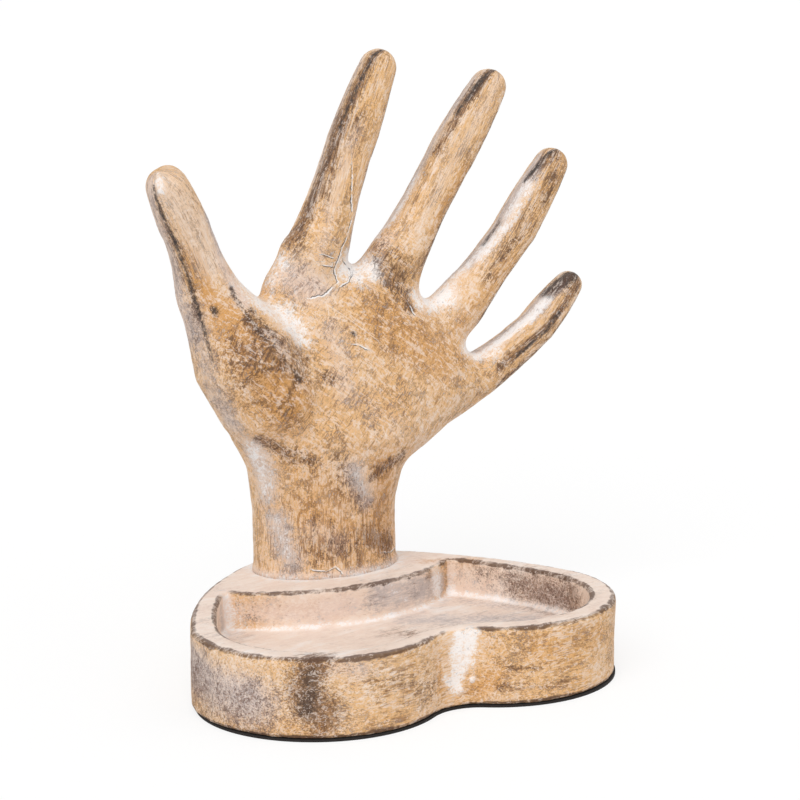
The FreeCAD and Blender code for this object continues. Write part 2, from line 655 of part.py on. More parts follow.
def make_web(body, name, shares):
    """A ridge with round ends that fills the angle between the palm and a finger's flank."""
    place = {
        "Base.x": f"{WRIST_Y} - Sizes.palm_deep * {PALM_SHARES['crest']['fore']}",
        "Base.y": f"{SEAT} + Sizes.palm_rise * {shares['rise']}",
        "Base.z": f"Sizes.wrist_across + Sizes.palm_breadth * {shares['shift']}",
        "Rotation.Roll": f"Sizes.{name}_lean",
    }
    sketch = new_sketch(body, f"{name}_outline", "YZ_Plane", place)
    half = "Sizes.web_thick / 2"
    length = f"Sizes.{name}_length"
    radius, top_at = size(half), size(length)
    side = [Vector(radius, 0, 0), Vector(radius, top_at, 0)]
    ends = [Vector(0, -radius, 0), Vector(0, top_at + radius, 0)]
    sketch.addGeometry([
        arc(Vector(), radius, ends[0], side[0]),
        Part.LineSegment(side[0], side[1]),
        arc(Vector(0, top_at, 0), radius, side[1], ends[1]),
        Part.LineSegment(ends[1], ends[0]),
    ], False)
    tie(sketch, "Tangent", 0, 2, 1, 1)
    tie(sketch, "Tangent", 1, 2, 2, 1)
    tie(sketch, "Coincident", 2, 2, 3, 1)
    tie(sketch, "Coincident", 3, 2, 0, 1)
    tie(sketch, "Coincident", 0, 3, -1, 1)
    tie(sketch, "PointOnObject", 2, 3, -2)
    tie(sketch, "PointOnObject", 3, 1, -2)
    tie(sketch, "PointOnObject", 3, 2, -2)
    bind(sketch, "Radius", 0, to=half)
    bind(sketch, "Distance", 1, to=length)
    turn_profile(body, name, sketch)


def make_hand():
    """The hand, carved in one piece, with blind holes for the screws in the foot of its wrist."""
    body = new_body("hand")
    make_palm(body)
    make_thenar(body)
    for finger in FINGER_SIZES:
        finger_lower(body, finger)
        finger_upper(body, finger)
    for name, shares in WEB_SHARES.items():
        make_web(body, name, shares)
    screw_turn(body, "LeftPilotHole", -1, "Sizes.screw_play", True)
    screw_turn(body, "RightPilotHole", 1, "Sizes.screw_play", True)
    return body


def check(bodies):
    """Stop if any object failed or any piece is empty, invalid or more than one solid."""
    for thing in DOC.Objects:
        if any(word in ("Invalid", "Error") for word in thing.State):
            raise RuntimeError(f"{thing.Label}: {thing.State}")
    for body in bodies:
        shape = body.Shape
        if shape.isNull() or not shape.isValid() or len(shape.Solids) != 1:
            raise RuntimeError(f"{body.Label}: shape is not one valid solid")


def main():
    fill_sheet()
    bodies = [
        make_tray(),
        make_pad(),
        make_screw("wrist_screw_left", -1),
        make_screw("wrist_screw_right", 1),
        make_hand(),
    ]
    DOC.recompute()
    check(bodies)
    os.makedirs("parts", exist_ok=True)
    for body in bodies:
        body.Shape.exportStep(f"parts/{body.Label}.step")


main()
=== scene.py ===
import math

import bpy
import numpy as np
from mathutils import Matrix, Vector
from mathutils.kdtree import KDTree

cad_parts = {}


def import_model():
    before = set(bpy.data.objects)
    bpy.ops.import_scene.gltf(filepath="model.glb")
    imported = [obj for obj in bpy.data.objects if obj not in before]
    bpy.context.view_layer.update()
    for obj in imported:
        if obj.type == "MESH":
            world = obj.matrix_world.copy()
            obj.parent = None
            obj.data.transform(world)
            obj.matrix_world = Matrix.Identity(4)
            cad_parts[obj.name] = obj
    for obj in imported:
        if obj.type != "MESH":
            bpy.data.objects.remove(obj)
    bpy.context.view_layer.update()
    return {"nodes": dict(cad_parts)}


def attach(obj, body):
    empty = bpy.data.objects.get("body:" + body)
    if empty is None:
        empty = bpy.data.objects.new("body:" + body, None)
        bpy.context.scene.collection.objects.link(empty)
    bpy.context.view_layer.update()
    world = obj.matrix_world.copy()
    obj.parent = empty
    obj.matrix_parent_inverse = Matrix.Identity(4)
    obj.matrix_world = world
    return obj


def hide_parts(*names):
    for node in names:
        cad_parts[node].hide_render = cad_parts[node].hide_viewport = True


# Dressing for a carved wooden hand on a hollowed, heart-shaped board. The scene is in metres. Places on
# the object are in millimetres, in the frame's own axes, and are turned to metres by MM.
MM = 0.001

# The photograph's camera: turned about the upright, raised, rolled, and its distance from its target
CAMERA_TURN = math.radians(-29.0393)
CAMERA_RISE = math.radians(10.5160)
CAMERA_ROLL = math.radians(-0.6006)
CAMERA_DISTANCE = 900 * MM
CAMERA_TARGET = Vector((5.6315, -12.6525, 111.3918)) * MM
CAMERA_LENS = 103.22
CAMERA_SENSOR = 36.0

# The studio: each lamp's strength, width in degrees and place, the light all round, and the floor's size,
# grey and share of glow
LAMPS = {"key": (1.6, 50, (-1.3, -1.3, 1.8)), "fill": (0.35, 80, (1.6, -1.2, 1.0))}
STUDIO_LIGHT = 0.62
FLOOR_SIZE = 60.0
FLOOR_GREY = 0.85
FLOOR_GLOW = 0.75
WHITE = (1, 1, 1, 1)

# Fineness of the carved surfaces, and how near each other loose corners are joined
HAND_VOXEL = 0.95 * MM
BOARD_VOXEL = 0.92 * MM
JOIN_WITHIN = 0.001 * MM

# Rounds of easing, each of which draws a point up to halfway to the middle of its neighbours
HALFWAY = 0.5
SURFACE_ROUNDS = 5
HOLLOW_ROUNDS = 104
ROOT_ROUNDS = 50

# The hollows between the hand's forms: the rounds that measure their depth, the depths in millimetres at
# which they set in, and the rounds and gain that widen them
HOLLOW_RELIEF_ROUNDS = 24
HOLLOW_DEPTH = (0.02, 0.10)
HOLLOW_WIDENING = 32
HOLLOW_GAIN = 2.5

# Where along a finger the easing of its root sets in and fades out
ROOT_RISE = (-0.3, -0.1)
ROOT_FADE = (0.2, 0.4)

# The rounds that measure the relief for the paint, and those that even out the board's
HAND_RELIEF_ROUNDS = 19
BOARD_RELIEF_ROUNDS = 9
BOARD_RELIEF_EVENING = 2

# The unevenness that tools leave: the size of its features and its height
HAND_CUTS = (("knife_cuts", 18 * MM, 0.35 * MM), ("scrapes", 4 * MM, 0.24 * MM))
BOARD_CUTS = (("board_waves", 20 * MM, 0.7 * MM), ("board_scrapes", 4 * MM, 0.3 * MM))

# Each finger's middle line from its root over its joint to its tip, and its widths there
FINGERS = {
    "thumb": (((-49.1, 44.2, 150.6), (-60.3, 40.4, 177.6), (-75.0, 34.3, 202.4)), (27.0, 20.4, 17.4)),
    "index": (((2.2, 48.7, 166.7), (16.0, 46.6, 206.5), (31.3, 41.1, 245.5)), (26.7, 20.2, 15.8)),
    "middle": (((41.3, 49.2, 162.4), (63.1, 47.3, 198.9), (84.0, 42.1, 235.5)), (23.6, 20.0, 15.6)),
    "ring": (((68.9, 48.5, 136.3), (95.1, 46.9, 166.7), (115.1, 42.0, 201.2)), (23.1, 18.8, 14.6)),
    "little": (((80.7, 47.4, 107.6), (105.7, 46.6, 124.2), (125.3, 43.4, 146.7)), (20.5, 16.6, 12.6)),
}
PALM_SIDE = np.array((0.0, -1.0, 0.0))

# The knife left the fingers squarish: how square, how much slimmer across the flats, the flats' turn,
# where along a finger this sets in, and how far off the finger it fades out
SQUARE_POWER = 2.8
SQUARE_SLIM = 0.955
SQUARE_TURN = math.radians(-12)
SQUARE_RISE = (-0.05, 0.25)
SQUARE_FADE = (1 * MM, 3 * MM)

# The lip of paint along a crack, and how far beside it that sets in and fades out, in millimetres
CRACK_LIP = 0.25 * MM
LIP_RISE = (-0.3, 0.5)
LIP_FADE = (0.6, 2.0)

# In millimetres: how deep a line reaches, how much faster distances grow from there, and one out of reach
LINE_DEPTH = 3
LINE_STEEPNESS = 9
FAR = 1e3

# The filler that seats the wrist: the board's height, how high and how far the filler spreads, its waves
# and how uneven they leave it, and how high its foot is and how far that faces sideways
FOOT_HEIGHT = 32.0 * MM
FILLER_TOP = 37.0 * MM
FILLER_SPREAD = 1.7 * MM
FILLER_WAVES = (3.1 * MM, 4.3 * MM)
FILLER_UNEVEN = 0.25
FILLER_FOOT = 1.1 * MM
FILLER_SIDEWAYS = 0.2

# Washes on the filler and on the board beside it: strength, and the heights over which each fades out, or
# for the board the distances in millimetres from the lowest slice of the hand
FOOT_ROSE = (0.9, FOOT_HEIGHT + 1 * MM, FILLER_TOP)
FOOT_CHALK = (0.7, FOOT_HEIGHT + 0.5 * MM, FOOT_HEIGHT + 2.5 * MM)
BOARD_CHALK = (0.6, 0.5, 7.0)
FOOT_SLICE = 0.5 * MM

# Where the wrist's paint gives way to the palm's, and where along a finger the finger's own sets in
WRIST_FADE = (62 * MM, 92 * MM)
FINGER_RISE = (0.0, 0.3)

# The grain on a finger: how slowly it changes along it, and how far it is from the next finger's
GRAIN_ALONG = 0.2
GRAIN_APART = 0.05

# How far off a finger its brush marks stay full, how fast they thin out from there, and how far off the
# finger and past its own ends a dark line runs
MARK_SKIN = 2 * MM
MARK_THINNING = 2
SEAM_SKIN = 6 * MM
SEAM_PAST_END = 0.1 * MM

# The board: the middle that its hollow faces, how far a face has to turn to it, the heights of the floor
# and of the top, and how much of a drop of filler is white
HOLLOW_MIDDLE = (0.0, -10.0, 0.0)
FACING_RISE = (0.0, 0.4)
FLOOR_RISE = (10 * MM, 14 * MM)
TOP_RISE = (28 * MM, 31 * MM)
DROP_WHITE = 0.7

# The paints, as they look in daylight
PAINTS = {
    "ochre": "#E2AE6E",
    "tan": "#E2BA8D",
    "beige": "#E9D2BE",
    "chalk": "#F4F1F0",
    "slate": "#BDB3B2",
    "amber": "#CC9249",
    "umber": "#82552F",
    "walnut": "#523521",
    "soot": "#2C2625",
    "cream": "#EDDCD0",
    "rose": "#DFC9BE",
    # The near-black of the pad under the board, which shows as the dark line along the board's foot
    "pad_black": "#17130F",
    "zinc": "#B9B9B4",
}

# The paints that brush marks are laid in, and how much each covers where its mark is full
COVER = {
    "amber": 0.85,
    "beige": 0.6,
    "rose": 0.75,
    "slate": 0.85,
    "chalk": 0.9,
    "umber": 0.42,
    "soot": 0.88,
}

# How much is covered by brown hairs, pale hairs and bare wood
BROWN_COVER = 0.56
LIGHT_COVER = 0.32
BARE_COVER = 0.85

# The ground under the marks and the whitewash on the board, as paints by tone
GROUND = ((0.18, "beige"), (0.4, "tan"), (0.7, "ochre"))
WHITEWASH = ((0.3, "rose"), (0.5, "cream"), (0.7, "chalk"))

# Patterns of noise: the size of their features in millimetres, detail, roughness, bend, and how far some
# of them are drawn out along each axis
PATTERNS = {
    "grit": (2.2, 4, 0.7, 0.4),
    "stipple": (0.6, 2, 0.6, 0.4),
    "blotch": (32.0, 4, 0.55, 0.8),
    "patch": (8.0, 4, 0.55, 0.8),
    "finger_blotch": (16.0, 4, 0.55, 0.4),
    "finger_patch": (4.0, 4, 0.55, 0.4),
    "board_patch": (8.0, 4, 0.6, 0.9, (2, 1, 1)),
    "palm_stroke": (0.7, 3, 0.6, 0.7, (1, 1, 7)),
    "wrist_stroke": (0.8, 3, 0.6, 0.5, (1, 1, 9)),
    "finger_stroke": (0.5, 3, 0.6, 0.5, (1, 2, 1)),
    "board_stroke": (0.7, 3, 0.6, 0.5, (9, 1, 1)),
    "palm_score": (3.0, 3, 0.65, 0.6, (1, 1, 5)),
    "finger_score": (1.8, 3, 0.6, 0.8, (1, 2, 1)),
    "board_score": (2.2, 3, 0.6, 0.6, (12, 1, 1)),
    "wash_clouds": (20.0, 4, 0.6, 0.6),
    "wash_brushing": (3.0, 3, 0.6, 0.5, (5, 1, 1)),
    "line_wander": (3.0, 3, 0.7, 0.0),
    "crack_breaks": (4.5, 3, 0.6, 0.0),
    "seam_breaks": (1.6, 4, 0.7, 0.0),
    "pad_fuzz": (0.9, 5, 0.8, 0.0),
    "steel_rings": (1.2, 4, 0.55, 0.0, (1, 1, 0.2)),
}

# Directions of the strokes and scores, in degrees. Only a share of the turn is left on a finger, where
# they follow its length, and on the board they follow the grain.
PALM_STROKES = {"first": 42, "second": -48, "third": 4}
PALM_SCORES = (34, -52)
WRIST_TURN = (0, 2, 0)
FINGER_STROKE_SHARE = 0.2
FINGER_SCORE_SHARE = 0.1
BOARD_STROKES = {"first": 0, "second": 14, "third": -20}
BOARD_SCORES = (6, -4)
BOARD_GRAIN = 12

# Fields that are sums of others, with the weight of each
TONE = {"blotch": 0.22, "patch": 0.1, "grit": 0.2, "first": 0.24, "third": 0.24}
FRAY = {"patch": 0.25, "grit": 0.3, "first": 0.25, "stipple": 0.2}
FRAYED_MARK = {"mark": 0.9, "fray": 0.9}
FRAYED_CHALK = {"mark": 0.9, "fray": 1.5}
DIRT = {"patch": 0.17, "blotch": 0.13, "umber": 0.42, "soot": 0.4, "white": -0.26}
BARE = {"edge": 1.0, "patch": 0.5, "grit": 0.3}
BROKEN = {"grit": 0.6, "patch": 0.4}
CUT_PLACES = {"broken": 0.3, "dirt": 1.0, "umber": 0.3}
HEIGHT = {"grit": 0.5, "brown": -0.4, "dark": -0.3, "light": 0.2, "cuts": -0.5, "scuffs": 0.3}
WASH_TONE = {"clouds": 0.6, "brushing": 0.4}
WANDERING_SEAM = {"seam": 1.0, "wander": 0.8}

# Ranges over which those fields and the noises go from nothing to all
NOISE_RANGE = (0.32, 0.68)
MIDDLE_RANGE = (0.3, 0.7)
MARK_RANGE = (0.55, 1.35)
CHALK_RANGE = (0.95, 1.6)
SPECK_RANGE = (0.92, 1.24)
BARE_RANGE = (0.7, 1.5)
BROKEN_RANGE = (0.45, 0.65)
CUT_RANGE = (0.25, 0.75)
CRACK_BREAKS = (0.36, 0.5)
SEAM_BREAKS = (0.36, 0.56)

# Whitewash: the relief of a hollow where it begins, its strength there, and how much it protects an edge
HOLLOW_BEGINS = -0.02
HOLLOW_WHITE = 0.8
EDGE_KEPT = 1.5

# How much denser brown hairs are in the first stroke, and pale ones in the grit
FIRST_DENSER = 0.1
GRIT_DENSER = 0.2

# Scores: the widths of cuts and scuffs, the share of them that is full, and how much scuffs cover
CUT_WIDTH = 0.06
SCUFF_WIDTH = 0.045
SCORE_CORE = 0.3
SCUFF_COVER = 0.5

# How the paint has worn: the relief in millimetres of a hollow full of whitewash and of an edge worn
# bare, the strength of the dark dots and of the cuts, the range of roughness, and where dirt gathers
HAND_LOOK = {
    "hollow": -0.4,
    "edge": (0.8, 1.2),
    "dots": 0.5,
    "cuts": 0.78,
    "rough": (0.38, 0.62),
    "dirt": DIRT,
}
BOARD_LOOK = {
    "hollow": -0.3,
    "edge": (0.12, 0.25),
    "dots": 0.4,
    "cuts": 0.6,
    "rough": (0.42, 0.66),
    "dirt": {**DIRT, "wash": -0.22},
}

# Whitewash on the board: how far up a face has to look, and its cover there and in the hollow
WASH_UPWARD = (0.6, 0.95)
WASH_COVER = 0.92
WASH_INSIDE = 0.75

# Lines on the hand: the distances in millimetres at which each is gone and full, and how much it covers
LINES = {
    "seam": (1.5, 0.2, 0.85),
    "scratch": (0.3, 0.05, 0.6),
    "ground": (0.42, 0.15, 0.85),
    "gap": (0.3, 0.1, 0.85),
}

# How far lines wander, half of that, and how far beside a crack its pale ground lies, in millimetres
WANDER = 1.8
HALF_WANDER = 0.9
GROUND_BESIDE = 0.4

# Bumps as strength and depth, and the gloss and roughness of surfaces
PAINT_BUMPS = (0.55, 0.35 * MM)
PAD_BUMPS = (0.6, 0.2 * MM)
PAINT_GLOSS = 0.45
PAD_ROUGH = 0.95
STEEL_ROUGH = (0.25, 0.45)

# Brush marks on the fingers: paint, finger, from and to along it (root 0, tip 1), at which angles round
# it (palm side 0, towards the little finger plus), half the mark's width in millimetres, and its strength.
# The umber and soot marks on the flanks towards the little finger, at angles of about 44 to 62, and on
# the index finger's thumb-side flank are partly rubbed dirt and partly painted shade.
FINGER_MARKS = (
    ("rose", "thumb", (-0.2, -98), (0.95, -96), 6, 0.9),
    ("slate", "thumb", (-0.2, -82), (0.95, -80), 6, 0.55),
    ("soot", "thumb", (-0.05, -50), (0.92, -54), 0.8, 0.5),
    ("umber", "thumb", (-0.05, -54), (0.95, -58), 2, 0.35),
    ("beige", "thumb", (0.3, 5), (0.95, -5), 7, 1),
    ("chalk", "thumb", (0.96, -40), (1.04, 0), 5, 0.6),
    ("umber", "thumb", (1, -60), (1.04, -20), 3, 0.5),
    ("slate", "thumb", (0.3, 50), (0.55, 50), 3.5, 0.9),
    ("rose", "thumb", (-0.1, 30), (0.3, 40), 4, 0.9),
    ("amber", "thumb", (-0.3, -18), (0.35, -28), 5, 0.95),
    ("slate", "index", (0.3, -108), (0.9, -104), 3, 0.7),
    # This umber and the soot two lines down, on the index finger's thumb-side flank, are partly rubbed dirt
    # and partly painted shade
    ("umber", "index", (0, -80), (0.62, -66), 4.5, 0.9),
    ("umber", "index", (0.6, -64), (0.98, -60), 2.2, 0.8),
    ("soot", "index", (0.15, -76), (0.6, -64), 1.6, 0.5),
    ("umber", "index", (0.25, -58), (0.45, -60), 4, 0.7),
    ("soot", "index", (0.84, -60), (1, -54), 1, 0.5),
    ("rose", "index", (-0.05, -20), (0.6, -28), 3.4, 0.5),
    ("slate", "index", (0, 56), (0.9, 60), 3.2, 1),
    # Partly rubbed dirt, partly painted shade on the flank that turns away from the key lamp
    ("umber", "index", (0.5, 52), (0.95, 54), 1.6, 0.7),
    ("slate", "middle", (-0.1, -98), (0.9, -98), 3.5, 0.8),
    ("chalk", "middle", (-0.15, -86), (0.35, -88), 2.6, 0.6),
    ("umber", "middle", (0.5, -64), (0.98, -58), 2.4, 0.8),
    ("beige", "middle", (0.1, -14), (0.98, -8), 2.2, 0.7),
    # This umber and the soot below: partly rubbed dirt, partly painted shade on the flank away from the key
    # lamp
    ("umber", "middle", (0, 48), (0.95, 58), 2.2, 0.9),
    ("soot", "middle", (0.1, 57), (0.9, 60), 1.4, 0.8),
    ("slate", "middle", (0.2, 52), (0.9, 54), 1.6, 0.6),
    ("soot", "middle", (0.8, -58), (1.02, -44), 1.2, 0.8),
    ("amber", "middle", (0.15, 20), (0.5, 24), 3, 0.7),
    ("slate", "ring", (0, -96), (0.9, -92), 3, 0.9),
    ("slate", "ring", (0.2, -76), (0.86, -70), 3.6, 1),
    ("chalk", "ring", (0.25, -62), (0.84, -58), 3, 0.85),
    ("soot", "ring", (0.34, -80), (0.5, -76), 1.8, 0.7),
    ("soot", "ring", (0.78, -76), (1, -46), 1.4, 0.8),
    ("chalk", "ring", (-0.1, -74), (0.35, -76), 2.4, 0.7),
    ("umber", "ring", (0.8, -60), (1, -30), 3, 0.7),
    ("umber", "ring", (0.2, -14), (0.85, -2), 3, 0.4),
    # This umber and the soot below: partly rubbed dirt, partly painted shade on the flank away from the key
    # lamp
    ("umber", "ring", (0, 50), (0.95, 56), 2, 0.9),
    ("soot", "ring", (0.1, 58), (0.85, 62), 1.2, 0.7),
    ("amber", "ring", (-0.2, 0), (0.3, 10), 5, 0.6),
    ("slate", "little", (0, -84), (0.75, -76), 3, 1),
    ("chalk", "little", (-0.1, -68), (0.7, -58), 2.4, 1),
    ("soot", "little", (0.74, -76), (1.02, -50), 3.2, 1),
    ("soot", "little", (0.9, -44), (1.06, -20), 3.4, 1),
    ("slate", "little", (0.5, -60), (0.86, -50), 2.8, 1),
    ("umber", "little", (0.05, -4), (0.95, 4), 1.8, 0.9),
    # Partly rubbed dirt, partly painted shade on the flank that turns away from the key lamp
    ("umber", "little", (0, 44), (0.9, 50), 2, 0.7),
)

# Dark lines where a facet's edge is worn to the wood: finger, from and to
SEAMS = (
    ("thumb", (-0.35, -44), (0.95, -54)),
    ("index", (0.55, -61), (0.99, -54)),
    ("middle", (0.7, -62), (0.99, -52)),
    ("ring", (0.74, -74), (0.98, -48)),
    ("little", (0.2, 12), (0.7, 10)),
)

# Brush marks on the palm and wrist: paint, from and to, half the mark's width, and strength
HAND_MARKS = (
    ("chalk", (-38, 40, 153), (-17, 34, 135), 7.5, 0.9),
    ("chalk", (-47, 42, 164), (-38, 41, 153), 4, 0.7),
    ("chalk", (-16.5, 35, 138), (-13, 33, 130), 3.5, 0.8),
    ("rose", (-24, 41, 160), (-6, 38, 150), 7, 0.9),
    ("chalk", (-28, 42, 154), (-20, 44, 162), 6, 0.75),
    ("beige", (-12, 40, 160), (0, 38, 150), 7, 0.8),
    ("chalk", (10, 40, 158), (22, 42, 156), 6.5, 0.95),
    ("rose", (14, 40, 160), (30, 42, 168), 4.5, 0.7),
    ("chalk", (45, 42, 141), (58, 42, 143), 6, 0.95),
    ("chalk", (68, 42, 119), (80, 40, 119), 5, 0.95),
    ("umber", (-44, 25, 131), (-20, 26, 121), 6, 0.75),
    ("umber", (-34, 25, 136), (-18, 27, 124), 4, 0.6),
    ("umber", (-40, 27, 140), (-34, 26, 132), 3, 0.8),
    ("soot", (-45, 32.5, 153.5), (-35.5, 25.5, 135.5), 1.3, 0.8),
    ("soot", (-35.5, 25.5, 135.5), (-20, 23.5, 116.5), 1.4, 0.7),
    ("umber", (-38, 26, 134), (-26, 23.5, 114), 9, 0.25),
    ("soot", (-38, 30.5, 145), (-28, 26, 132), 1.6, 0.6),
    ("slate", (-33, 27, 136), (-26, 25, 128), 3, 0.6),
    ("amber", (-48, 27, 142), (-26, 23, 112), 13, 1),
    ("amber", (24, 32, 136), (50, 36, 118), 14, 0.8),
    ("amber", (-14, 30, 78), (4, 26, 62), 7, 0.5),
    ("amber", (18, 29, 76), (22, 31, 46), 8, 0.9),
    ("amber", (-14, 30, 60), (4, 26, 50), 8, 0.6),
    ("amber", (10, 34, 146), (26, 35, 146), 6, 0.5),
    ("umber", (28, 41, 160), (34, 38, 150), 5, 0.6),
    ("umber", (34, 38, 160), (38, 36, 138), 2, 0.7),
    ("umber", (-46, 28, 132), (-40, 24, 116), 6, 0.4),
    ("rose", (-2, 30, 136), (2, 28, 108), 6, 0.6),
    ("rose", (14, 29, 100), (22, 29, 92), 7, 0.5),
    ("umber", (-6, 27.5, 117), (-3, 27.5, 113), 2, 0.6),
    ("umber", (-34, 32, 92), (-28, 30, 88), 2.6, 0.95),
    ("umber", (-28, 30, 88), (-6, 28, 79), 3, 0.7),
    ("umber", (13, 25, 73), (28, 28, 80), 2.6, 0.8),
    ("chalk", (-34, 37, 90), (-31, 39, 68), 5, 0.6),
    ("slate", (-33, 37, 88), (-30, 39, 66), 6.5, 0.8),
    ("slate", (3, 25, 77), (11, 25, 63), 5, 0.85),
    ("chalk", (5, 25, 75), (10, 25, 66), 3.5, 0.45),
    ("slate", (-25, 37, 56), (-20, 34, 40), 6.5, 0.9),
    ("chalk", (-24, 37, 55), (-20, 34, 44), 4.5, 0.45),
    ("umber", (-21, 35, 54), (-17, 33, 53), 1.4, 0.9),
    ("rose", (-12, 30, 52), (-2, 27, 46), 5, 0.6),
    ("umber", (-12, 29, 58), (-12, 29, 38), 0.9, 0.9),
    ("umber", (-5, 27, 56), (-5, 27, 38), 0.9, 0.9),
    ("umber", (0, 26.5, 52), (1, 26.5, 36), 0.9, 0.9),
    ("umber", (6, 26, 50), (7, 26, 36), 0.9, 0.8),
    ("soot", (-30.5, 40, 48), (-30.5, 40, 37), 0.8, 0.8),
    ("amber", (14, 27, 62), (20, 29, 48), 6, 0.8),
    ("umber", (12, 27, 48), (24, 30, 41), 4, 0.9),
    ("umber", (-14, 30, 46), (0, 27, 44), 5, 0.5),
    ("umber", (-2, 27, 80), (6, 26, 64), 6, 0.35),
    ("soot", (8.5, 31, 132), (9, 31, 131.5), 1.1, 1),
    ("soot", (-53, 32, 146.5), (-52.5, 32, 145), 1.4, 1),
    ("slate", (-60, 40, 146), (-44, 38, 100), 6.5, 0.75),
)

# Where the paint has cracked: each line runs on the surface, and the paint stands up along its left side
CRACKS = (
    (
        (12, 37, 200), (11.5, 37, 189), (12, 38, 178), (9, 37, 170.5),
        (6.5, 36.5, 167), (6, 36, 164.5), (3, 37.5, 157.5), (5, 38.5, 152.5),
        (-2, 38, 147.5), (-7.5, 38.5, 147),
    ),
    ((6, 36, 164.5), (8.5, 38.5, 160.5), (12.5, 41, 157), (12, 39.5, 154)),
    ((-2, 36.5, 164), (2, 36, 162.5)),
    ((-1.5, 37, 159.5), (2.5, 37, 158.5)),
    ((6.5, 38, 150.5), (10.5, 38, 152), (13, 40, 155)),
    ((37.5, 36, 140), (38.5, 35.5, 137.5), (40.5, 35, 135)),
    ((8.5, 30, 127), (13.5, 29.5, 125)),
    ((-13, 29.5, 35.5), (-8, 27.5, 34.5), (-4, 26.5, 36), (-2, 26, 34)),
    ((20, 30, 38.5), (26, 33, 37), (31, 37, 38.5)),
)

# A long, straight scratch across the palm
SCRATCH = ((-0.5, 36, 143.5), (19.5, 30.5, 128))

# Where the hand and the board are fuller or slimmer than the construction: place, reach and shift
HAND_NUDGES = (
    ((-75, 33, 198), 30, (1.4, 0, 0)),
    ((-62, 46, 150), 22, (-1, 0, 0)),
    ((-17, 44, 164), 13, (1.6, 0, -0.4)),
    ((-13, 47, 174), 9, (1, 0, -0.4)),
    ((31, 38, 235), 36, (-1.4, 0, 0)),
    ((33, 40, 74), 18, (-1.3, 0, 0)),
    ((-31, 48, 76), 18, (0.9, 0, 0)),
    ((97, 43, 111), 18, (0.8, 0, -0.7)),
)
BOARD_NUDGES = (
    ((-87, -22, 10), 34, (-1.1, -0.3, 0)),
    ((72, -62, 12), 44, (-1, 0.5, 0)),
)

# Brush marks on the board, in the same form
BOARD_MARKS = (
    ("umber", (-63, -70.5, 29), (-67, -68.5, 20), 6, 1),
    ("umber", (-67, -68.5, 20), (-60, -71, 10), 7, 1),
    ("soot", (-64, -70, 26), (-66, -69, 12), 4, 0.7),
    ("umber", (-60, -71.5, 8), (-62, -71, 3), 3.5, 0.8),
    ("umber", (-40, -76, 20), (-14, -68, 12), 5, 0.4),
    ("rose", (-88, -18, 18), (-80, -54, 14), 10, 1),
    ("slate", (-88, -18, 20), (-82, -52, 14), 9, 0.9),
    ("umber", (-88, -16, 14), (-82, -52, 10), 12, 0.5),
    ("rose", (-56, -73, 28), (-46, -75, 26), 4, 0.7),
    ("umber", (-86, -42, 15), (-86, -42, 11), 0.8, 1),
    ("chalk", (1, -64, 28), (0, -64, 10), 3.4, 1),
    ("chalk", (6, -65.5, 28), (4, -65, 18), 3.4, 1),
    ("chalk", (-5, -64.4, 14), (0, -64.2, 8), 2.4, 0.7),
    ("amber", (8, -67, 8), (14, -70, 12), 5, 0.8),
    ("amber", (-10, -65, 22), (-8, -65, 10), 3, 0.7),
    ("umber", (19, -72.6, 15.8), (30, -76.1, 15), 0.8, 0.8),
    ("umber", (16, -71.5, 8), (42, -77, 8), 1.4, 0.6),
    ("amber", (-84, -48, 5), (-60, -71, 5), 5, 0.7),
    ("amber", (30, -76, 22), (60, -72, 22), 8, 0.6),
    ("slate", (-60, 22, 27), (-57, 25, 19), 3.5, 1),
    ("chalk", (-54, 28, 28), (-50, 28, 19), 4, 0.8),
    ("amber", (-44, 24, 25), (-20, 15, 25), 3.5, 0.5),
    ("slate", (8, 11, 26), (44, 22, 22), 6, 1),
    ("chalk", (14, 12, 28), (22, 14, 22), 2, 0.6),
    ("chalk", (42, 22, 27), (42, 22, 20), 3.5, 0.9),
    ("chalk", (48, 23, 28), (48, 23, 18), 2, 0.9),
    ("umber", (-30, 19, 29), (38, 20, 29), 1.5, 0.7),
    ("umber", (4, 10, 24), (26, 15, 24), 4, 0.2),
    ("slate", (52, 18, 22), (77, -20, 22), 6, 0.8),
    ("rose", (54, 17, 22), (77, -20, 22), 7, 0.6),
    # These two umber marks are painted shade on the hollow's right end wall
    ("umber", (58, 15, 27), (77, -20, 26), 4, 0.6),
    ("umber", (70, 0, 24), (77, -26, 24), 7, 1),
    ("amber", (40, 30, 32), (60, 22, 32), 4, 0.6),
    ("rose", (-56, 28, 24), (-4, 10, 24), 5, 0.8),
    ("slate", (20, 4, 16), (60, -20, 16), 9, 0.7),
    ("umber", (6, -14, 16), (52, -32, 16), 9, 0.5),
    ("umber", (-52, -24, 16), (-16, -34, 16), 6, 0.35),
)

# Drops of filler that ran down in the board's notch: place, radius and height
DROPS = (
    ((1.6, -64.5, 7.7), 2.4, 1.1),
    ((6.2, -66, 11.5), 2, 1.2),
    ((3.6, -65.2, 15), 1.4, 0.7),
)


def linear(name):
    """A listed paint as the linear colour that shaders take."""
    text = PAINTS[name].lstrip("#")
    channels = [int(text[index:index + 2], 16) / 255 for index in (0, 2, 4)]
    return tuple(c / 12.92 if c <= 0.04045 else ((c + 0.055) / 1.055) ** 2.4 for c in channels) + (1.0,)


def only(obj):
    """Make obj the one selected and active object."""
    bpy.ops.object.select_all(action="DESELECT")
    obj.select_set(True)
    bpy.context.view_layer.objects.active = obj


def finish_modifier(obj, kind, **settings):
    """Add a modifier with its settings and apply it at once."""
    only(obj)
    modifier = obj.modifiers.new(kind.title(), kind)
    for name, value in settings.items():
        setattr(modifier, name, value)
    bpy.ops.object.modifier_apply(modifier=modifier.name)


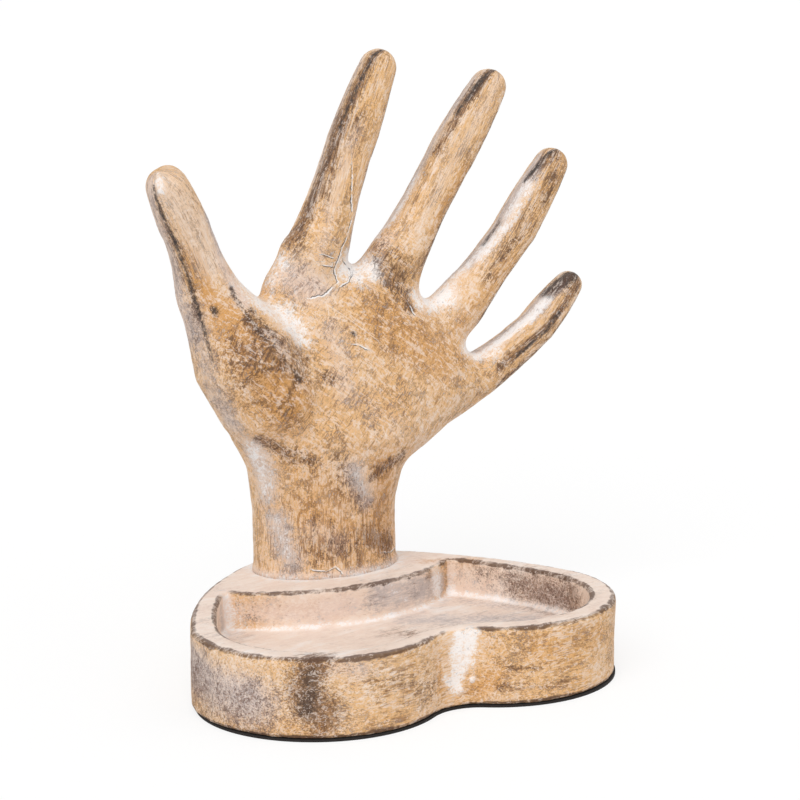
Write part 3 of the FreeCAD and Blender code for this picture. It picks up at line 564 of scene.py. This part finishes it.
def recut(node, name, voxel):
    """A copy of a CAD node with its loose triangles joined and cut again into even small faces."""
    obj = bpy.data.objects.new(name, node.data.copy())
    bpy.context.scene.collection.objects.link(obj)
    only(obj)
    bpy.ops.object.mode_set(mode="EDIT")
    bpy.ops.mesh.select_all(action="SELECT")
    bpy.ops.mesh.remove_doubles(threshold=JOIN_WITHIN)
    bpy.ops.object.mode_set(mode="OBJECT")
    finish_modifier(obj, "REMESH", mode="VOXEL", voxel_size=voxel, adaptivity=0.0, use_smooth_shade=True)
    return obj


def rows(items, name, width, kind=np.float32):
    """A property of all items of a mesh, one row of numbers for each."""
    values = np.empty(len(items) * width, dtype=kind)
    items.foreach_get(name, values)
    return values.reshape(-1, width)


def get_points(obj):
    return rows(obj.data.vertices, "co", 3).astype(float)


def get_normals(obj):
    return rows(obj.data.vertices, "normal", 3).astype(float)


def get_links(obj):
    """The two ends of every edge."""
    return rows(obj.data.edges, "vertices", 2, np.int32)


def set_points(obj, points):
    obj.data.vertices.foreach_set("co", points.astype(np.float32).ravel())
    obj.data.update()


def give(obj, fields):
    """Keep each field, of one value or one vector on each point, for the materials to read."""
    for name, values in fields.items():
        vector = values.ndim == 2
        layer = obj.data.attributes.new(name, "FLOAT_VECTOR" if vector else "FLOAT", "POINT")
        layer.data.foreach_set("vector" if vector else "value", values.astype(np.float32).ravel())


def rise(value, low, high):
    """Nothing up to low, easing to one at high."""
    share = np.clip((value - low) / (high - low), 0, 1)
    return share * share * (3 - 2 * share)


def fade(value, low, high):
    """One up to low, easing to nothing at high."""
    return 1 - rise(value, low, high)


def ease(points, links, weight, rounds):
    """Draw each point towards the middle of its neighbours by its weight, this many times."""
    total = len(points)
    ends = np.concatenate((links[:, 0], links[:, 1]))
    others = np.concatenate((links[:, 1], links[:, 0]))
    count = np.maximum(np.bincount(ends, minlength=total), 1)
    weight = np.broadcast_to(weight, total)[:, None]
    for _ in range(rounds):
        around = [np.bincount(ends, weights=column[others], minlength=total) for column in points.T]
        middle = np.stack(around, axis=1) / count[:, None]
        points = points + (middle - points) * weight
    return points


def spread(field, links, rounds):
    """Even out a field of one value on each point."""
    return ease(field[:, None], links, HALFWAY, rounds)[:, 0]


def relief_of(obj, rounds):
    """How far each point stands out of the surface about it, in millimetres: minus where it lies below."""
    points = get_points(obj)
    eased = ease(points, get_links(obj), HALFWAY, rounds)
    return ((points - eased) * get_normals(obj)).sum(axis=1) / MM


def nudge(points, nudges):
    """Pull the points about each place by its shift, less and less out to its reach."""
    for place, reach, shift in nudges:
        far = np.linalg.norm(points / MM - np.array(place), axis=1) / reach
        points = points + fade(far, 0.1, 1.0)[:, None] * np.array(shift) * MM
    return points


def roughen(obj, cuts):
    """Leave the marks of tools on the surface, the broad ones first."""
    for name, size, height in cuts:
        texture = bpy.data.textures.new(name, "CLOUDS")
        texture.noise_scale = size
        finish_modifier(obj, "DISPLACE", texture=texture, strength=height, mid_level=0.5)


def keep_inside(points, node):
    """Hold every point within the node's own box."""
    corners = get_points(node)
    return np.clip(points, corners.min(axis=0), corners.max(axis=0))


def finger_grid(points):
    """Each point's place on its nearest finger: the finger's number and length, the share along it, the gap
    to its skin, the angle round it (palm side 0, towards the little finger plus), its radius and middle."""
    best = {"gap": np.full(len(points), np.inf), "middle": np.zeros_like(points)}
    for name in ("finger", "along", "length", "around", "radius"):
        best[name] = np.zeros(len(points))
    for number, (line, widths) in enumerate(FINGERS.values()):
        line = np.array(line) * MM
        radii = np.array(widths) * MM / 2
        halves = np.linalg.norm(line[1:] - line[:-1], axis=1)
        for part, half in enumerate(halves):
            heading = (line[part + 1] - line[part]) / half
            palmward = PALM_SIDE - heading * (PALM_SIDE @ heading)
            palmward /= np.linalg.norm(palmward)
            across = np.cross(heading, palmward)
            step = np.clip((points - line[part]) @ heading, -half if part == 0 else 0, half)
            middle = line[part] + step[:, None] * heading
            off = points - middle
            share = (step + part * halves[0]) / halves.sum()
            radius = np.interp(share, (0, 0.5, 1), radii)
            found = {
                "gap": np.linalg.norm(off, axis=1) - radius,
                "middle": middle,
                "finger": number,
                "along": share,
                "length": halves.sum(),
                "around": np.arctan2(off @ across, off @ palmward),
                "radius": radius,
            }
            better = found["gap"] < best["gap"]
            for name, values in found.items():
                best[name][better] = values[better] if np.ndim(values) else values
    return best


def on_finger(grid, name):
    return grid["finger"] == list(FINGERS).index(name)


def from_finger_line(grid, start, end):
    """How far each point is, round and along its finger, from a line between two (share, angle) places."""
    start_angle, end_angle = math.radians(start[1]), math.radians(end[1])
    share = np.clip((grid["along"] - start[0]) / (end[0] - start[0]), 0, 1)
    angle = start_angle + (end_angle - start_angle) * share
    turn = (grid["around"] - angle + math.pi) % (2 * math.pi) - math.pi
    beyond = (grid["along"] - (start[0] + (end[0] - start[0]) * share)) * grid["length"]
    return turn * (grid["radius"] + np.maximum(grid["gap"], 0)), beyond


def distance_to_run(points, start, end):
    """How far each point is from the straight run between two places."""
    start, end = np.array(start), np.array(end)
    run = end - start
    share = np.clip((points - start) @ run / (run @ run), 0, 1)
    return np.linalg.norm(points - start - share[:, None] * run, axis=1)


def line_sides(points, normals, lines):
    """How far each point is across the surface from the nearest line, in millimetres: plus on its left."""
    nearest = np.full(len(points), FAR)
    for places in lines:
        for start, end in zip(places, places[1:]):
            run = np.array(end) - np.array(start)
            off = points / MM - np.array(start)
            share = np.clip(off @ run / (run @ run), 0, 1)
            side = np.sign((np.cross(run, off) * normals).sum(axis=1))
            off = off - share[:, None] * run
            depth = (off * normals).sum(axis=1)
            beside = np.sqrt(np.maximum((off ** 2).sum(axis=1) - depth ** 2, 0))
            distance = beside + np.maximum(np.abs(depth) - LINE_DEPTH, 0) * LINE_STEEPNESS
            closer = distance < np.abs(nearest)
            nearest[closer] = (distance * side)[closer]
    return nearest


def distance_to_foot(points, hand):
    """How far each point is from the foot of the hand, in millimetres."""
    foot = get_points(hand)
    foot = foot[foot[:, 2] < FOOT_HEIGHT + FOOT_SLICE]
    tree = KDTree(len(foot))
    for index, place in enumerate(foot):
        tree.insert(place, index)
    tree.balance()
    return np.array([tree.find(place)[2] for place in points]) / MM


def square_fingers(points):
    """Turn the round fingers squarish, as a knife leaves them."""
    grid = finger_grid(points)
    angle = grid["around"] - SQUARE_TURN
    shape = np.abs(np.cos(angle)) ** SQUARE_POWER + np.abs(np.sin(angle)) ** SQUARE_POWER
    shape = shape ** (-1 / SQUARE_POWER)
    hold = rise(grid["along"], *SQUARE_RISE) * fade(grid["gap"], *SQUARE_FADE)
    swell = 1 + (shape * SQUARE_SLIM - 1) * hold
    return grid["middle"] + (points - grid["middle"]) * swell[:, None]


def soften_hollows(obj, points, links):
    """Ease the hand's forms into one another in the hollows and at the roots of the fingers."""
    hollow = rise(-relief_of(obj, HOLLOW_RELIEF_ROUNDS), *HOLLOW_DEPTH)
    hollow = np.clip(spread(hollow, links, HOLLOW_WIDENING) * HOLLOW_GAIN, 0, 1)
    points = ease(points, links, HALFWAY * hollow, HOLLOW_ROUNDS)
    along = finger_grid(points)["along"]
    roots = rise(along, *ROOT_RISE) * fade(along, *ROOT_FADE)
    return ease(points, links, HALFWAY * roots, ROOT_ROUNDS)


def spread_foot(points, normals):
    """The filler at the foot of the wrist: it spreads unevenly and reaches down flat onto the board."""
    low = fade(points[:, 2], FOOT_HEIGHT, FILLER_TOP)
    waves = np.sin(points[:, 0] / FILLER_WAVES[0]) * np.cos(points[:, 1] / FILLER_WAVES[1])
    uneven = 1 - FILLER_UNEVEN + FILLER_UNEVEN * waves
    sideways = normals * np.array((1.0, 1.0, 0.0))
    points = points + sideways * (low * low * uneven)[:, None] * FILLER_SPREAD
    at_foot = points[:, 2] < FOOT_HEIGHT + FILLER_FOOT
    points[at_foot & (np.linalg.norm(sideways, axis=1) > FILLER_SIDEWAYS), 2] = FOOT_HEIGHT
    return points


def raise_lips(points, normals):
    """The paint stands up along the left side of each crack."""
    side = line_sides(points, normals, CRACKS)
    lip = rise(side, *LIP_RISE) * fade(side, *LIP_FADE) * CRACK_LIP
    return points + normals * lip[:, None]


def add_drops(points, normals):
    """Drops of filler stand up from the surface."""
    for place, radius, height in DROPS:
        far = np.linalg.norm(points / MM - np.array(place), axis=1)
        points = points + normals * (fade(far, 0.2 * radius, radius) * height * MM)[:, None]
    return points


def press(fields, paint, field):
    """Press more paint into a field, which keeps the stronger of the two at each point."""
    fields[paint] = np.maximum(fields[paint], field)


def lay_mark(fields, paint, distance, half_width, strength):
    """A brush mark: full along its middle and fading out past its half width."""
    press(fields, paint, strength * fade(distance, 0, half_width * 2))


def lay_marks(fields, points, marks):
    """Brush marks that run straight between two places."""
    for paint, start, end, half_width, strength in marks:
        lay_mark(fields, paint, distance_to_run(points / MM, start, end), half_width, strength)


def lay_finger_marks(fields, grid):
    """Brush marks that run along a finger, and on that finger only."""
    off_finger = np.maximum(grid["gap"] - MARK_SKIN, 0) * MARK_THINNING
    for paint, finger, start, end, half_width, strength in FINGER_MARKS:
        distance = np.hypot(*from_finger_line(grid, start, end)) + off_finger
        distance = np.where(on_finger(grid, finger), distance / MM, FAR)
        lay_mark(fields, paint, distance, half_width, strength)


def finger_seams(grid):
    """How far each point is from its finger's dark line, in millimetres: plus towards the little finger."""
    seams = np.full(len(grid["gap"]), FAR)
    for finger, start, end in SEAMS:
        aside, beyond = from_finger_line(grid, start, end)
        near = (np.abs(beyond) < SEAM_PAST_END) & (grid["gap"] < SEAM_SKIN)
        here = near & on_finger(grid, finger)
        seams[here] = aside[here] / MM
    return seams


def mark_hand(obj):
    """Lay every brush mark on the hand, and the measures that its paint follows."""
    points, normals = get_points(obj), get_normals(obj)
    grid = finger_grid(points)
    fields = {paint: np.zeros(len(points)) for paint in COVER}
    lay_finger_marks(fields, grid)
    lay_marks(fields, points, HAND_MARKS)
    for paint, (strength, low, high) in (("rose", FOOT_ROSE), ("chalk", FOOT_CHALK)):
        press(fields, paint, strength * fade(points[:, 2], low, high))
    round_finger = grid["around"] * grid["radius"]
    along_finger = grid["along"] * grid["length"] * GRAIN_ALONG
    fields["grain"] = np.stack((round_finger, along_finger, grid["finger"] * GRAIN_APART), axis=1)
    fields["finger_hold"] = rise(grid["along"], *FINGER_RISE)
    fields["wrist"] = fade(points[:, 2], *WRIST_FADE)
    fields["seam"] = finger_seams(grid)
    fields["crack"] = line_sides(points, normals, CRACKS)
    fields["scratch"] = line_sides(points, normals, (SCRATCH,))
    fields["relief"] = relief_of(obj, HAND_RELIEF_ROUNDS)
    give(obj, fields)


def mark_board(obj, hand):
    """Lay every brush mark on the board and tell the inside of its hollow from the outside."""
    points = get_points(obj)
    fields = {paint: np.zeros(len(points)) for paint in COVER}
    lay_marks(fields, points, BOARD_MARKS)
    for place, radius, _ in DROPS:
        distance = np.linalg.norm(points / MM - np.array(place), axis=1)
        lay_mark(fields, "chalk", distance, radius * DROP_WHITE, 1.0)
    strength, near, far = BOARD_CHALK
    round_foot = rise(points[:, 2], *TOP_RISE) * fade(distance_to_foot(points, hand), near, far)
    press(fields, "chalk", strength * round_foot)
    outward = points - np.array(HOLLOW_MIDDLE) * MM
    outward[:, 2] = 0
    outward /= np.maximum(np.linalg.norm(outward, axis=1), 1 * MM)[:, None]
    facing_in = -(outward * get_normals(obj)).sum(axis=1)
    fields["inside"] = rise(facing_in, *FACING_RISE) * rise(points[:, 2], *FLOOR_RISE)
    relief = relief_of(obj, BOARD_RELIEF_ROUNDS)
    fields["relief"] = spread(relief, get_links(obj), BOARD_RELIEF_EVENING)
    give(obj, fields)


def carve_hand(node):
    """The hand, its forms eased into one another and its fingers left squarish."""
    obj = recut(node, "carved_hand", HAND_VOXEL)
    links = get_links(obj)
    points = square_fingers(ease(get_points(obj), links, HALFWAY, SURFACE_ROUNDS))
    set_points(obj, points)
    set_points(obj, nudge(soften_hollows(obj, points, links), HAND_NUDGES))
    roughen(obj, HAND_CUTS)
    set_points(obj, spread_foot(get_points(obj), get_normals(obj)))
    set_points(obj, keep_inside(raise_lips(get_points(obj), get_normals(obj)), node))
    mark_hand(obj)
    return obj


def carve_board(node, hand):
    """The board, with the rims and corners of its hollow worn round and uneven."""
    obj = recut(node, "heart_board", BOARD_VOXEL)
    points = ease(get_points(obj), get_links(obj), HALFWAY, SURFACE_ROUNDS)
    set_points(obj, nudge(points, BOARD_NUDGES))
    roughen(obj, BOARD_CUTS)
    set_points(obj, keep_inside(add_drops(get_points(obj), get_normals(obj)), node))
    mark_board(obj, hand)
    return obj


def add_node(tree, kind, inputs=None, **settings):
    """A shader node with its settings; an input is a value or another node's socket."""
    node = tree.nodes.new(kind)
    for name, value in settings.items():
        setattr(node, name, value)
    for name, value in (inputs or {}).items():
        socket = node.inputs[name]
        if isinstance(value, bpy.types.NodeSocket):
            tree.links.new(value, socket)
        else:
            socket.default_value = value
    return node


def new_material(name):
    material = bpy.data.materials.new(name)
    material.use_nodes = True
    material.node_tree.nodes.clear()
    return material, material.node_tree


def surface(tree, inputs, height=None, bumps=None):
    """End a material in one surface, bumped by the height where there is one."""
    if height is not None:
        bump_inputs = {"Strength": bumps[0], "Distance": bumps[1], "Height": height}
        inputs["Normal"] = add_node(tree, "ShaderNodeBump", bump_inputs).outputs["Normal"]
    shader = add_node(tree, "ShaderNodeBsdfPrincipled", inputs)
    add_node(tree, "ShaderNodeOutputMaterial", {"Surface": shader.outputs["BSDF"]})


def paint_surface(tree, colour, rough, height):
    inputs = {"Base Color": colour, "Roughness": rough, "Specular IOR Level": PAINT_GLOSS}
    surface(tree, inputs, height, PAINT_BUMPS)


def attribute(tree, name, output="Fac"):
    return add_node(tree, "ShaderNodeAttribute", attribute_name=name).outputs[output]


def object_place(tree):
    return add_node(tree, "ShaderNodeTexCoord").outputs["Object"]


def noise(tree, place, pattern, turn=(0, 0, 0)):
    """One of the listed patterns of noise, its axes turned by angles in degrees."""
    size, detail, rough, bend, *stretch = PATTERNS[pattern]
    if stretch:
        inputs = {"Vector": place, "Rotation": [math.radians(angle) for angle in turn], "Scale": stretch[0]}
        place = add_node(tree, "ShaderNodeMapping", inputs, vector_type="TEXTURE").outputs["Vector"]
    inputs = {"Vector": place, "Scale": 1 / (size * MM), "Detail": detail, "Roughness": rough}
    inputs["Distortion"] = bend
    return add_node(tree, "ShaderNodeTexNoise", inputs).outputs["Fac"]


def span(tree, value, low, high, to_low=0.0, to_high=1.0):
    """Value from low to high, eased to the new range and held at its ends."""
    inputs = {"Value": value, "From Min": low, "From Max": high, "To Min": to_low, "To Max": to_high}
    return add_node(tree, "ShaderNodeMapRange", inputs, interpolation_type="SMOOTHSTEP").outputs["Result"]


def sums(tree, operation, first, second=0.0):
    return add_node(tree, "ShaderNodeMath", {0: first, 1: second}, operation=operation).outputs[0]


def times(tree, first, second):
    return sums(tree, "MULTIPLY", first, second)


def weighed(tree, fields, weights):
    """The sum of several fields, each with its own weight."""
    total = None
    for name, weight in weights.items():
        share = times(tree, fields[name], weight)
        total = share if total is None else sums(tree, "ADD", total, share)
    return total


def blend(tree, share, below, above):
    """One field turning into another."""
    return add_node(tree, "ShaderNodeMix", {0: share, 2: below, 3: above}).outputs[0]


def mix(tree, share, below, above):
    """One colour covered by another; the other is a paint's name or a colour."""
    if isinstance(above, str):
        above = linear(above)
    return add_node(tree, "ShaderNodeMix", {0: share, 6: below, 7: above}, data_type="RGBA").outputs[2]


def ramp(tree, value, stops):
    """A colour ramp through named paints."""
    node = add_node(tree, "ShaderNodeValToRGB", {"Fac": value})
    elements = node.color_ramp.elements
    while len(elements) < len(stops):
        elements.new(0.5)
    for element, (place, name) in zip(elements, stops):
        element.position = place
        element.color = linear(name)
    return node.outputs["Color"]


def washed(tree, parts, paint):
    """A paint's brush marks, thinned out unevenly towards their edges."""
    mark = weighed(tree, {"mark": parts[paint], "fray": parts["fray"]}, FRAYED_MARK)
    return times(tree, span(tree, mark, *MARK_RANGE), COVER[paint])


def specked(tree, grain, density):
    """Specks out of a fine grain: the higher the density, the more of them."""
    return span(tree, sums(tree, "ADD", grain, density), *SPECK_RANGE)


def scored(tree, grain, width):
    """Thin lines along which a drawn-out noise crosses its middle value."""
    off = sums(tree, "ABSOLUTE", sums(tree, "SUBTRACT", grain, 0.5))
    return span(tree, off, width, width * SCORE_CORE)


def line(tree, distance, name):
    """One of the listed lines, along which a distance comes down to nothing."""
    gone, full, cover = LINES[name]
    return span(tree, sums(tree, "ABSOLUTE", distance), gone, full, 0.0, cover)


def paint_parts(tree, place, noises):
    """The fields that paint is made of: noises spread over their whole range, and those on the surface."""
    noises = {**noises, "grit": noise(tree, place, "grit"), "stipple": noise(tree, place, "stipple")}
    parts = {name: span(tree, field, *NOISE_RANGE) for name, field in noises.items()}
    for name in (*COVER, "relief"):
        parts[name] = attribute(tree, name)
    parts["fray"] = weighed(tree, parts, FRAY)
    return parts


def lay_paints(tree, parts, colour, look):
    """The brush marks over the ground, with whitewash left in the hollows under the brown ones."""
    for paint in ("amber", "beige", "rose", "slate"):
        colour = mix(tree, washed(tree, parts, paint), colour, paint)
    hollow = times(tree, span(tree, parts["relief"], HOLLOW_BEGINS, look["hollow"]), HOLLOW_WHITE)
    mark = sums(tree, "MAXIMUM", parts["chalk"], hollow)
    white = weighed(tree, {"mark": mark, "fray": parts["fray"]}, FRAYED_CHALK)
    parts["white"] = span(tree, white, *CHALK_RANGE, 0.0, COVER["chalk"])
    colour = mix(tree, parts["white"], colour, "chalk")
    return mix(tree, washed(tree, parts, "umber"), colour, "umber")


def rub_down(tree, parts, colour, look):
    """Fine hairs and specks of brown, dark and pale, then the soot, and the edges worn down to the wood."""
    parts["dirt"] = dirt = weighed(tree, parts, look["dirt"])
    hairs = specked(tree, parts["first"], sums(tree, "ADD", dirt, FIRST_DENSER))
    parts["brown"] = sums(tree, "MAXIMUM", hairs, specked(tree, parts["second"], dirt))
    parts["dark"] = specked(tree, parts["stipple"], dirt)
    parts["light"] = specked(tree, parts["third"], times(tree, parts["grit"], GRIT_DENSER))
    colour = mix(tree, times(tree, parts["brown"], BROWN_COVER), colour, "umber")
    colour = mix(tree, times(tree, parts["dark"], look["dots"]), colour, "walnut")
    colour = mix(tree, times(tree, parts["light"], LIGHT_COVER), colour, "cream")
    colour = mix(tree, washed(tree, parts, "soot"), colour, "soot")
    edge = span(tree, parts["relief"], *look["edge"])
    parts["edge"] = sums(tree, "SUBTRACT", edge, times(tree, parts["chalk"], EDGE_KEPT))
    bare = span(tree, weighed(tree, parts, BARE), *BARE_RANGE, 0.0, BARE_COVER)
    return mix(tree, bare, colour, "walnut")


def score_paint(tree, parts, colour, scores, look):
    """Dark cuts where the paint is dirty, and pale scuffs where it isn't broken up."""
    parts["broken"] = span(tree, weighed(tree, parts, BROKEN), *BROKEN_RANGE)
    where = span(tree, weighed(tree, parts, CUT_PLACES), *CUT_RANGE)
    parts["cuts"] = times(tree, scored(tree, scores[0], CUT_WIDTH), where)
    whole = span(tree, parts["broken"], 1.0, 0.0, 0.0, SCUFF_COVER)
    parts["scuffs"] = times(tree, scored(tree, scores[1], SCUFF_WIDTH), whole)
    colour = mix(tree, times(tree, parts["cuts"], look["cuts"]), colour, "walnut")
    return mix(tree, parts["scuffs"], colour, "cream")


def worn_paint(tree, place, noises, scores, look, wash=None):
    """Ochre paint, washed over where a wash is given, and rubbed down: its colour, roughness and height."""
    parts = paint_parts(tree, place, noises)
    colour = ramp(tree, weighed(tree, parts, TONE), GROUND)
    if wash is not None:
        parts["wash"], pale = wash
        colour = mix(tree, parts["wash"], colour, pale)
    colour = lay_paints(tree, parts, colour, look)
    colour = rub_down(tree, parts, colour, look)
    colour = score_paint(tree, parts, colour, scores, look)
    rough = span(tree, parts["grit"], *MIDDLE_RANGE, *look["rough"])
    return colour, rough, weighed(tree, parts, HEIGHT)


def line_work(tree, place, colour):
    """Ragged lines on the hand: worn edges, a scratch, and broken cracks with pale ground beside them."""
    parts = {name: attribute(tree, name) for name in ("seam", "scratch", "crack")}
    parts["wander"] = times(tree, noise(tree, place, "line_wander"), WANDER)
    side = sums(tree, "ADD", sums(tree, "ADD", parts["crack"], parts["wander"]), -HALF_WANDER)
    seam_breaks = span(tree, noise(tree, place, "seam_breaks"), *SEAM_BREAKS)
    crack_breaks = span(tree, noise(tree, place, "crack_breaks"), *CRACK_BREAKS)
    seam = times(tree, line(tree, weighed(tree, parts, WANDERING_SEAM), "seam"), seam_breaks)
    ground = line(tree, sums(tree, "ADD", side, -GROUND_BESIDE), "ground")
    colour = mix(tree, seam, colour, "soot")
    colour = mix(tree, line(tree, parts["scratch"], "scratch"), colour, "cream")
    colour = mix(tree, times(tree, ground, crack_breaks), colour, "chalk")
    return mix(tree, times(tree, line(tree, side, "gap"), crack_breaks), colour, "soot")


def hand_paint():
    """Paint brushed along the fingers and in short crossed strokes over the palm."""
    material, tree = new_material("hand_paint")
    place = object_place(tree)
    along = attribute(tree, "grain", "Vector")
    finger_hold = attribute(tree, "finger_hold")
    wrist_hold = attribute(tree, "wrist")
    wrist = noise(tree, place, "wrist_stroke", WRIST_TURN)
    noises = {}
    for name in ("blotch", "patch"):
        palm, finger = noise(tree, place, name), noise(tree, along, "finger_" + name)
        noises[name] = blend(tree, finger_hold, palm, finger)
    for name, turn in PALM_STROKES.items():
        palm = noise(tree, place, "palm_stroke", (0, turn, 0))
        if name == "first":
            palm = blend(tree, wrist_hold, palm, wrist)
        finger = noise(tree, along, "finger_stroke", (0, 0, turn * FINGER_STROKE_SHARE))
        noises[name] = blend(tree, finger_hold, palm, finger)
    scores = []
    for turn in PALM_SCORES:
        palm = blend(tree, wrist_hold, noise(tree, place, "palm_score", (0, turn, 0)), wrist)
        finger = noise(tree, along, "finger_score", (0, 0, turn * FINGER_SCORE_SHARE))
        scores.append(blend(tree, finger_hold, palm, finger))
    colour, rough, height = worn_paint(tree, place, noises, scores, HAND_LOOK)
    colour = line_work(tree, place, colour)
    paint_surface(tree, colour, rough, height)
    return material


def whitewash(tree, place):
    """Where whitewash covers the board, on flat faces and inside the hollow, and its colour."""
    normal = add_node(tree, "ShaderNodeNewGeometry").outputs["Normal"]
    upward = add_node(tree, "ShaderNodeSeparateXYZ", {"Vector": normal}).outputs["Z"]
    flat = span(tree, upward, *WASH_UPWARD, 0.0, WASH_COVER)
    cover = sums(tree, "MAXIMUM", flat, times(tree, attribute(tree, "inside"), WASH_INSIDE))
    parts = {"clouds": noise(tree, place, "wash_clouds")}
    parts["brushing"] = noise(tree, place, "wash_brushing", (0, 0, BOARD_GRAIN))
    return cover, ramp(tree, weighed(tree, parts, WASH_TONE), WHITEWASH)


def board_paint():
    """The same paint on the board: whitewashed on its flat faces, ochre and speckled round its sides."""
    material, tree = new_material("board_paint")
    place = object_place(tree)
    noises = {"blotch": noise(tree, place, "blotch")}
    noises["patch"] = noise(tree, place, "board_patch", (0, 0, BOARD_GRAIN))
    for name, turn in BOARD_STROKES.items():
        noises[name] = noise(tree, place, "board_stroke", (0, turn, BOARD_GRAIN))
    scores = [noise(tree, place, "board_score", (0, turn, BOARD_GRAIN)) for turn in BOARD_SCORES]
    wash = whitewash(tree, place)
    colour, rough, height = worn_paint(tree, place, noises, scores, BOARD_LOOK, wash)
    paint_surface(tree, colour, rough, height)
    return material


def pad_felt():
    """A near-black, fuzzy surface for the pad under the board, which shows as the dark line along the
    board's foot.
    """
    material, tree = new_material("pad_felt")
    fuzz = noise(tree, object_place(tree), "pad_fuzz")
    colour = mix(tree, span(tree, fuzz, *MIDDLE_RANGE), linear("pad_black"), "soot")
    surface(tree, {"Base Color": colour, "Roughness": PAD_ROUGH}, fuzz, PAD_BUMPS)
    return material


def screw_steel():
    """Plain zinc-plated steel with fine turning marks."""
    material, tree = new_material("screw_steel")
    rings = noise(tree, object_place(tree), "steel_rings")
    rough = span(tree, rings, *MIDDLE_RANGE, *STEEL_ROUGH)
    surface(tree, {"Base Color": linear("zinc"), "Metallic": 1.0, "Roughness": rough})
    return material


def wear(obj, material):
    obj.data.materials.clear()
    obj.data.materials.append(material)


def make_floor():
    """A pale floor that looks white to the camera and still takes the object's shadow."""
    bpy.ops.object.select_all(action="DESELECT")
    bpy.ops.mesh.primitive_plane_add(size=FLOOR_SIZE, location=(0, 0, 0))
    floor = bpy.context.object
    floor.name = "studio_floor"
    material, tree = new_material("floor_white")
    grey = add_node(tree, "ShaderNodeBsdfDiffuse", {"Color": (FLOOR_GREY, FLOOR_GREY, FLOOR_GREY, 1)})
    clean = add_node(tree, "ShaderNodeBsdfDiffuse", {"Color": WHITE})
    glow = add_node(tree, "ShaderNodeEmission", {"Color": WHITE, "Strength": 1.0})
    seen = add_node(tree, "ShaderNodeMixShader", {0: FLOOR_GLOW, 1: clean.outputs[0], 2: glow.outputs[0]})
    rays = add_node(tree, "ShaderNodeLightPath")
    either = {0: rays.outputs["Is Camera Ray"], 1: grey.outputs[0], 2: seen.outputs[0]}
    both = add_node(tree, "ShaderNodeMixShader", either)
    add_node(tree, "ShaderNodeOutputMaterial", {"Surface": both.outputs[0]})
    wear(floor, material)


def make_world():
    """Even studio light, which the camera and gloss see as white."""
    world = bpy.data.worlds.new("studio")
    bpy.context.scene.world = world
    world.use_nodes = True
    tree = world.node_tree
    tree.nodes.clear()
    rays = add_node(tree, "ShaderNodeLightPath")
    seen = sums(tree, "MAXIMUM", rays.outputs["Is Camera Ray"], rays.outputs["Is Glossy Ray"])
    seen = sums(tree, "MAXIMUM", seen, rays.outputs["Is Transmission Ray"])
    soft = add_node(tree, "ShaderNodeBackground", {"Color": WHITE, "Strength": STUDIO_LIGHT})
    white = add_node(tree, "ShaderNodeBackground", {"Color": WHITE, "Strength": 1.0})
    both = add_node(tree, "ShaderNodeMixShader", {0: seen, 1: soft.outputs[0], 2: white.outputs[0]})
    add_node(tree, "ShaderNodeOutputWorld", {"Surface": both.outputs[0]})


def make_lamps():
    """Soft suns that shine from their places towards the object."""
    for name, (strength, width, place) in LAMPS.items():
        lamp = bpy.data.lights.new(name, "SUN")
        lamp.energy = strength
        lamp.angle = math.radians(width)
        obj = bpy.data.objects.new(name, lamp)
        bpy.context.scene.collection.objects.link(obj)
        obj.location = place
        obj.rotation_euler = (-Vector(place)).to_track_quat("-Z", "Y").to_euler()


def make_camera():
    """The photograph's camera."""
    back = Vector((
        math.sin(CAMERA_TURN) * math.cos(CAMERA_RISE),
        -math.cos(CAMERA_TURN) * math.cos(CAMERA_RISE),
        math.sin(CAMERA_RISE),
    ))
    level = Vector((math.cos(CAMERA_TURN), math.sin(CAMERA_TURN), 0))
    upward = back.cross(level)
    right = level * math.cos(CAMERA_ROLL) + upward * math.sin(CAMERA_ROLL)
    up = upward * math.cos(CAMERA_ROLL) - level * math.sin(CAMERA_ROLL)
    camera = bpy.data.objects.new("camera", bpy.data.cameras.new("camera"))
    camera.data.lens = CAMERA_LENS
    camera.data.sensor_width = CAMERA_SENSOR
    turn = Matrix((right, up, back)).transposed().to_4x4()
    camera.matrix_world = Matrix.Translation(CAMERA_TARGET + back * CAMERA_DISTANCE) @ turn
    bpy.context.scene.collection.objects.link(camera)
    bpy.context.scene.camera = camera


def main():
    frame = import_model()
    nodes = frame["nodes"]
    hand = carve_hand(nodes["hand"])
    wear(hand, hand_paint())
    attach(hand, "root")
    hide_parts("hand")
    board = carve_board(nodes["heart_tray"], hand)
    wear(board, board_paint())
    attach(board, "root")
    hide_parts("heart_tray")
    wear(nodes["base_pad"], pad_felt())
    steel = screw_steel()
    for name in ("wrist_screw_left", "wrist_screw_right"):
        wear(nodes[name], steel)
    make_floor()
    make_world()
    make_lamps()
    make_camera()
    bpy.context.scene.view_settings.view_transform = "Standard"


main()
